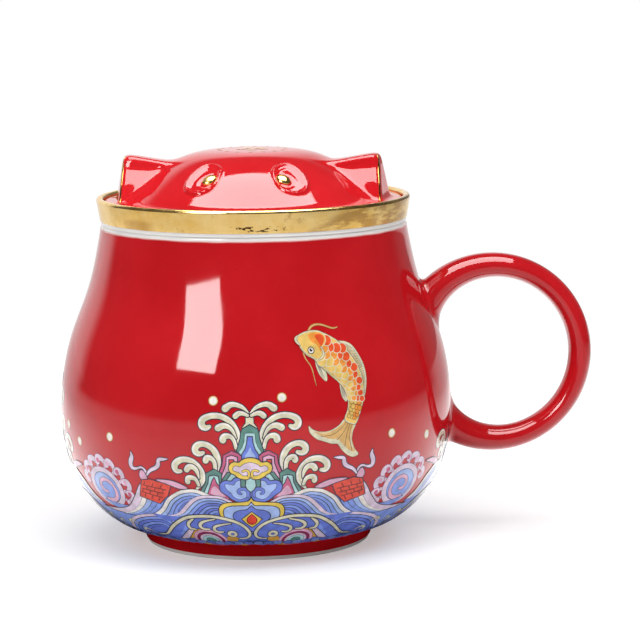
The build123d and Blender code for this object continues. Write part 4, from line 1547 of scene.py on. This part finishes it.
def carp():
    """Leaping carp with red and golden scales edged in cream."""
    s = Sheet()
    carp_fins(s)
    carp_tail(s)
    s.patch("straw", CARP_BODY, line=0.36, ink="brown")
    s.patch("straw", CARP_BODY, line=0.22, ink="cream")
    carp_scales(s)
    s.patch("straw", [
        (13.8, 68.5), (14.7, 69.4), (17.3, 70.1), (19.8, 70.1), (21.7, 69.1), (21.9, 67.5), (20.5, 65.7),
        (20.3, 64.0), (19.0, 63.0), (16.3, 64.5), (14.9, 66.0), (14.3, 67.4),
    ], line=0.16, ink="cream")
    s.patch("amber", [
        (17.0, 69.4), (19.8, 69.9), (21.5, 69.0), (21.7, 67.6), (20.4, 66.0), (20.1, 64.6), (19.2, 66.6),
        (17.7, 67.6),
    ], line=0)
    s.patch("scale", [
        (18.9, 69.1), (20.6, 69.4), (21.5, 68.6), (21.3, 67.3), (20.4, 66.3), (19.8, 67.2),
    ], line=0)
    s.brush("cream", [
        (20.3, 66.0, 0.3), (20.8, 64.9, 0.45), (20.5, 63.6, 0.45), (19.4, 62.8, 0.3),
    ], line=HAIR_LINE, ink="brown")
    s.brush("cream", [
        (13.9, 69.3, 0.3), (13.2, 68.6, 0.6), (13.6, 67.5, 0.5), (14.3, 66.8, 0.2),
    ], line=HAIR_LINE, ink="brown")
    for color, center, radius in CARP_EYE:
        s.disc(color, center, radius, line=0)
    return s.mirrored()


CROWN_LIFT = 0.06


def make_crown_ornament():
    """Small gilt blossom in a ring of dots on top of the head."""
    s = Sheet()
    s.disc("gold", (0, 0), 1.1, line=0)
    for count, ring, radius in ((5, 3.0, 1.55), (16, 9.2, 0.6)):
        for k in range(count):
            turn = 2 * math.pi * k / count
            s.disc("gold", (ring * math.sin(turn), -ring * math.cos(turn)), radius, line=0)
    points, faces, placed = [], [], 0
    for _, flat, flat_faces in s.flats:
        height = crown_height(np.hypot(flat[:, 0], flat[:, 1])) + CROWN_LIFT
        points.append(np.column_stack([flat, height]))
        faces += [tuple(v + placed for v in face) for face in flat_faces]
        placed += len(flat)
    points = lid_turned(np.concatenate(points))
    piece("gilt_crown", points, faces, crown_gilt, "lid", "gilt", ["crown_gilding"], angle=60)


make_crown_ornament()

PEARLS = [(9.5, 52.9), (-8.5, 53.6), (41.4, 41.1), (56.7, 37.7), (64.6, 41.0), (-40.4, 41.5), (-55.8, 38.8)]


def pearls():
    """White drops of spray in gold rings."""
    s = Sheet()
    for u, v in PEARLS:
        s.disc("tan", (u, v), 1.25, line=HAIR_LINE, ink="brown")
        s.disc("white", (u, v), 1.0, line=0)
    return s


SEA_HEIGHTS, SEA_SAMPLES = (16.5, 6.0), 481


def make_pattern():
    """The pattern round the mug: mountains at the quarters, whirlpools between them."""
    quarter = ROUND / 4
    left = sides()
    right = left.mirrored()
    between = [sheet.moved(2 * quarter * k) for k in range(2) for sheet in (left, right)]
    ring = np.linspace(0, ROUND, SEA_SAMPLES)
    sea = strip(*(np.column_stack([ring, np.full_like(ring, height)]) for height in SEA_HEIGHTS))
    lay("sea_waves", [Sheet([("blue", *sea)]), *between])
    group = peak()
    by_handle = peak(tall=False).moved(3 * quarter)
    lay("wave_peaks", [by_handle, *(group.moved(quarter * k) for k in (1, 0, 2))])
    lay("cloud_border", [border()])
    fish, drops = carp(), pearls()
    lay("carp", [fish, fish.moved(2 * quarter)])
    lay("pearls", [drops, drops.moved(2 * quarter)])


make_pattern()


# ---------------------------------------------------------------- floor, light and air
# Lengths in metres here. A way is a share: 1 straight to the back or the right, -1 straight the other way.
FLOOR_HALF, SHADE_REACH = 3.0, (0.22, 0.5)
TABLE_WHITE, TABLE_LIFT = 0.80, 0.35
MIRRORED_NEAR, MIRRORED_FRONT, MIRRORED_BACK = (0.040, 0.075), 1.15, 2.3
MIRRORED_FAR, MIRRORED_LEVEL, MIRRORED_RIGHT = (0.25, 0.42), 0.9, 0.7
MIRRORED_REACH, MIRRORED_REACH_FRONT, MIRRORED_INSIDE = 0.25, 0.38, 0.05
MIRRORED_FALL = 1.5
GLOW_WAYS, REACH_WAYS, LEVEL_WAYS = (-0.6, 0.4), (-0.8, 0.0), (0.2, 0.8)
HORIZON_FADE, HORIZON_LEVEL = (0.28, 0.95), 0.12
BACKDROP_EDGE, BACKDROP_TOP, BACKDROP_RISE = (0.50, 0.70), (0.42, 0.56), 0.15
ROOM_DARK, ROOM_FILL = 0.09, 0.42
RIGHT_SHARE, RIGHT_EDGE = 0.2, (0.0, 0.4)
BLACK, WHITE = (0, 0, 0, 1), (1, 1, 1, 1)


def mirrored_glow(nodes, x, y, far):
    """The table's light as the glaze mirrors it: white behind, less in front and at the horizon."""
    toward_back, toward_right = nodes.ratio(y, far), nodes.ratio(x, far)
    glow = nodes.range(toward_back, *GLOW_WAYS, MIRRORED_FRONT, MIRRORED_BACK)
    reach = nodes.range(toward_back, *REACH_WAYS, MIRRORED_REACH_FRONT, MIRRORED_REACH)
    beyond = nodes.ratio(nodes.math("MAXIMUM", nodes.minus(far, MIRRORED_INSIDE), 0.0), reach)
    glow = nodes.ratio(glow, nodes.plus(nodes.math("POWER", beyond, MIRRORED_FALL), 1.0))
    glow = nodes.times(glow, nodes.range(far, *MIRRORED_NEAR))
    level = nodes.range(toward_right, *LEVEL_WAYS, MIRRORED_LEVEL, MIRRORED_RIGHT)
    horizon = nodes.range(toward_back, *BACKDROP_EDGE, HORIZON_LEVEL, 1.0)
    level = nodes.times(level, nodes.blend(nodes.range(far, *HORIZON_FADE), 1.0, horizon))
    return nodes.blend(nodes.range(far, *MIRRORED_FAR), glow, level)


def make_floor():
    """White table that keeps the mug's shadow and fades into the white background."""
    mesh = bpy.data.meshes.new("floor")
    corners = [(-1, -1), (1, -1), (1, 1), (-1, 1)]
    mesh.from_pydata([(x * FLOOR_HALF, y * FLOOR_HALF, 0) for x, y in corners], [], [(0, 1, 2, 3)])
    floor = bpy.data.objects.new("floor", mesh)
    bpy.context.scene.collection.objects.link(floor)
    nodes = Surface("floor_white")
    x, y, _ = nodes.parts(nodes.place)
    far = nodes.add("ShaderNodeVectorMath", {"operation": "LENGTH"}, [(0, nodes.place)]).outputs["Value"]
    ray = nodes.add("ShaderNodeLightPath").outputs
    seen, mirrored = ray["Is Camera Ray"], ray["Is Glossy Ray"]
    fade = nodes.range(far, *SHADE_REACH)
    lift = nodes.plus(TABLE_LIFT, nodes.times(fade, 1.0 - TABLE_LIFT))
    light = nodes.plus(nodes.times(lift, seen), nodes.times(mirrored_glow(nodes, x, y, far), mirrored))
    keep = nodes.times(nodes.minus(1.0, nodes.times(fade, seen)), nodes.minus(1.0, mirrored))
    white = nodes.mix(keep, BLACK, (TABLE_WHITE, TABLE_WHITE, TABLE_WHITE, 1))
    nodes.finish(Emission_Color=WHITE, Emission_Strength=light)
    mesh.materials.append(nodes.finish(Base_Color=white, Roughness=1.0, Specular_IOR_Level=0.0))


def make_lamp(name, place, target, size, radiance, lights=True, shines=True):
    """Rectangular softbox of an even radiance, in metres; it lights, shines in the glaze, or both."""
    data = bpy.data.lights.new(name, "AREA")
    data.shape = "RECTANGLE"
    data.size, data.size_y = size
    data.energy = radiance * math.pi * size[0] * size[1]
    lamp = bpy.data.objects.new(name, data)
    lamp.location = place
    lamp.rotation_mode = "QUATERNION"
    lamp.rotation_quaternion = (Vector(target) - Vector(place)).to_track_quat("-Z", "Y")
    lamp.visible_diffuse = lights
    lamp.visible_glossy = shines
    bpy.context.scene.collection.objects.link(lamp)


def make_world():
    """White backdrop low behind the mug, a dark room in front and a soft even fill."""
    world = bpy.data.worlds.new("air")
    bpy.context.scene.world = world
    world.use_nodes = True
    nodes = Nodes(world.node_tree, "Generated")
    x, y, z = nodes.parts(nodes.place)
    behind = nodes.range(y, *BACKDROP_EDGE)
    height = nodes.minus(z, nodes.times(nodes.math("ABSOLUTE", x), BACKDROP_RISE))
    low = nodes.range(height, *BACKDROP_TOP, 1.0, 0.0)
    white = nodes.range(x, *RIGHT_EDGE, 1.0, RIGHT_SHARE)
    ray = nodes.add("ShaderNodeLightPath").outputs
    mirrored_room = nodes.blend(low, ROOM_DARK, nodes.blend(behind, ROOM_DARK, white))
    strength = nodes.blend(ray["Is Glossy Ray"], ROOM_FILL, mirrored_room)
    background = nodes.tree.nodes["Background"]
    nodes.put(background.inputs["Strength"], nodes.blend(ray["Is Camera Ray"], strength, 1.0))
    nodes.put(background.inputs["Color"], WHITE)


make_floor()
make_world()
LAMPS = {
    "key_overhead": ((0.0, -0.25, 1.1), (0, 0, 0.06), (0.9, 1.0), 2.35),
    "key_left": ((-0.75, -0.95, 0.7), (0, 0, 0.05), (0.6, 0.6), 3.8),
    "fill_right": ((0.75, -0.55, 1.15), (0, 0, 0.05), (0.6, 0.6), 3.4),
}
MIRRORED_LAMPS = {
    "strip": ((-0.353, -0.486, 0.353), (-0.018, -0.047, 0.078), (0.27, 0.197), 13.0),
    "ceiling": ((0.0, -0.06, 0.72), (0, -0.01, 0.1), (0.62, 0.6), 8.6),
}
for name, lamp in LAMPS.items():
    make_lamp(name, *lamp, shines=False)
for name, lamp in MIRRORED_LAMPS.items():
    make_lamp(name, *lamp, lights=False)
bpy.context.scene.view_settings.view_transform = "Standard"
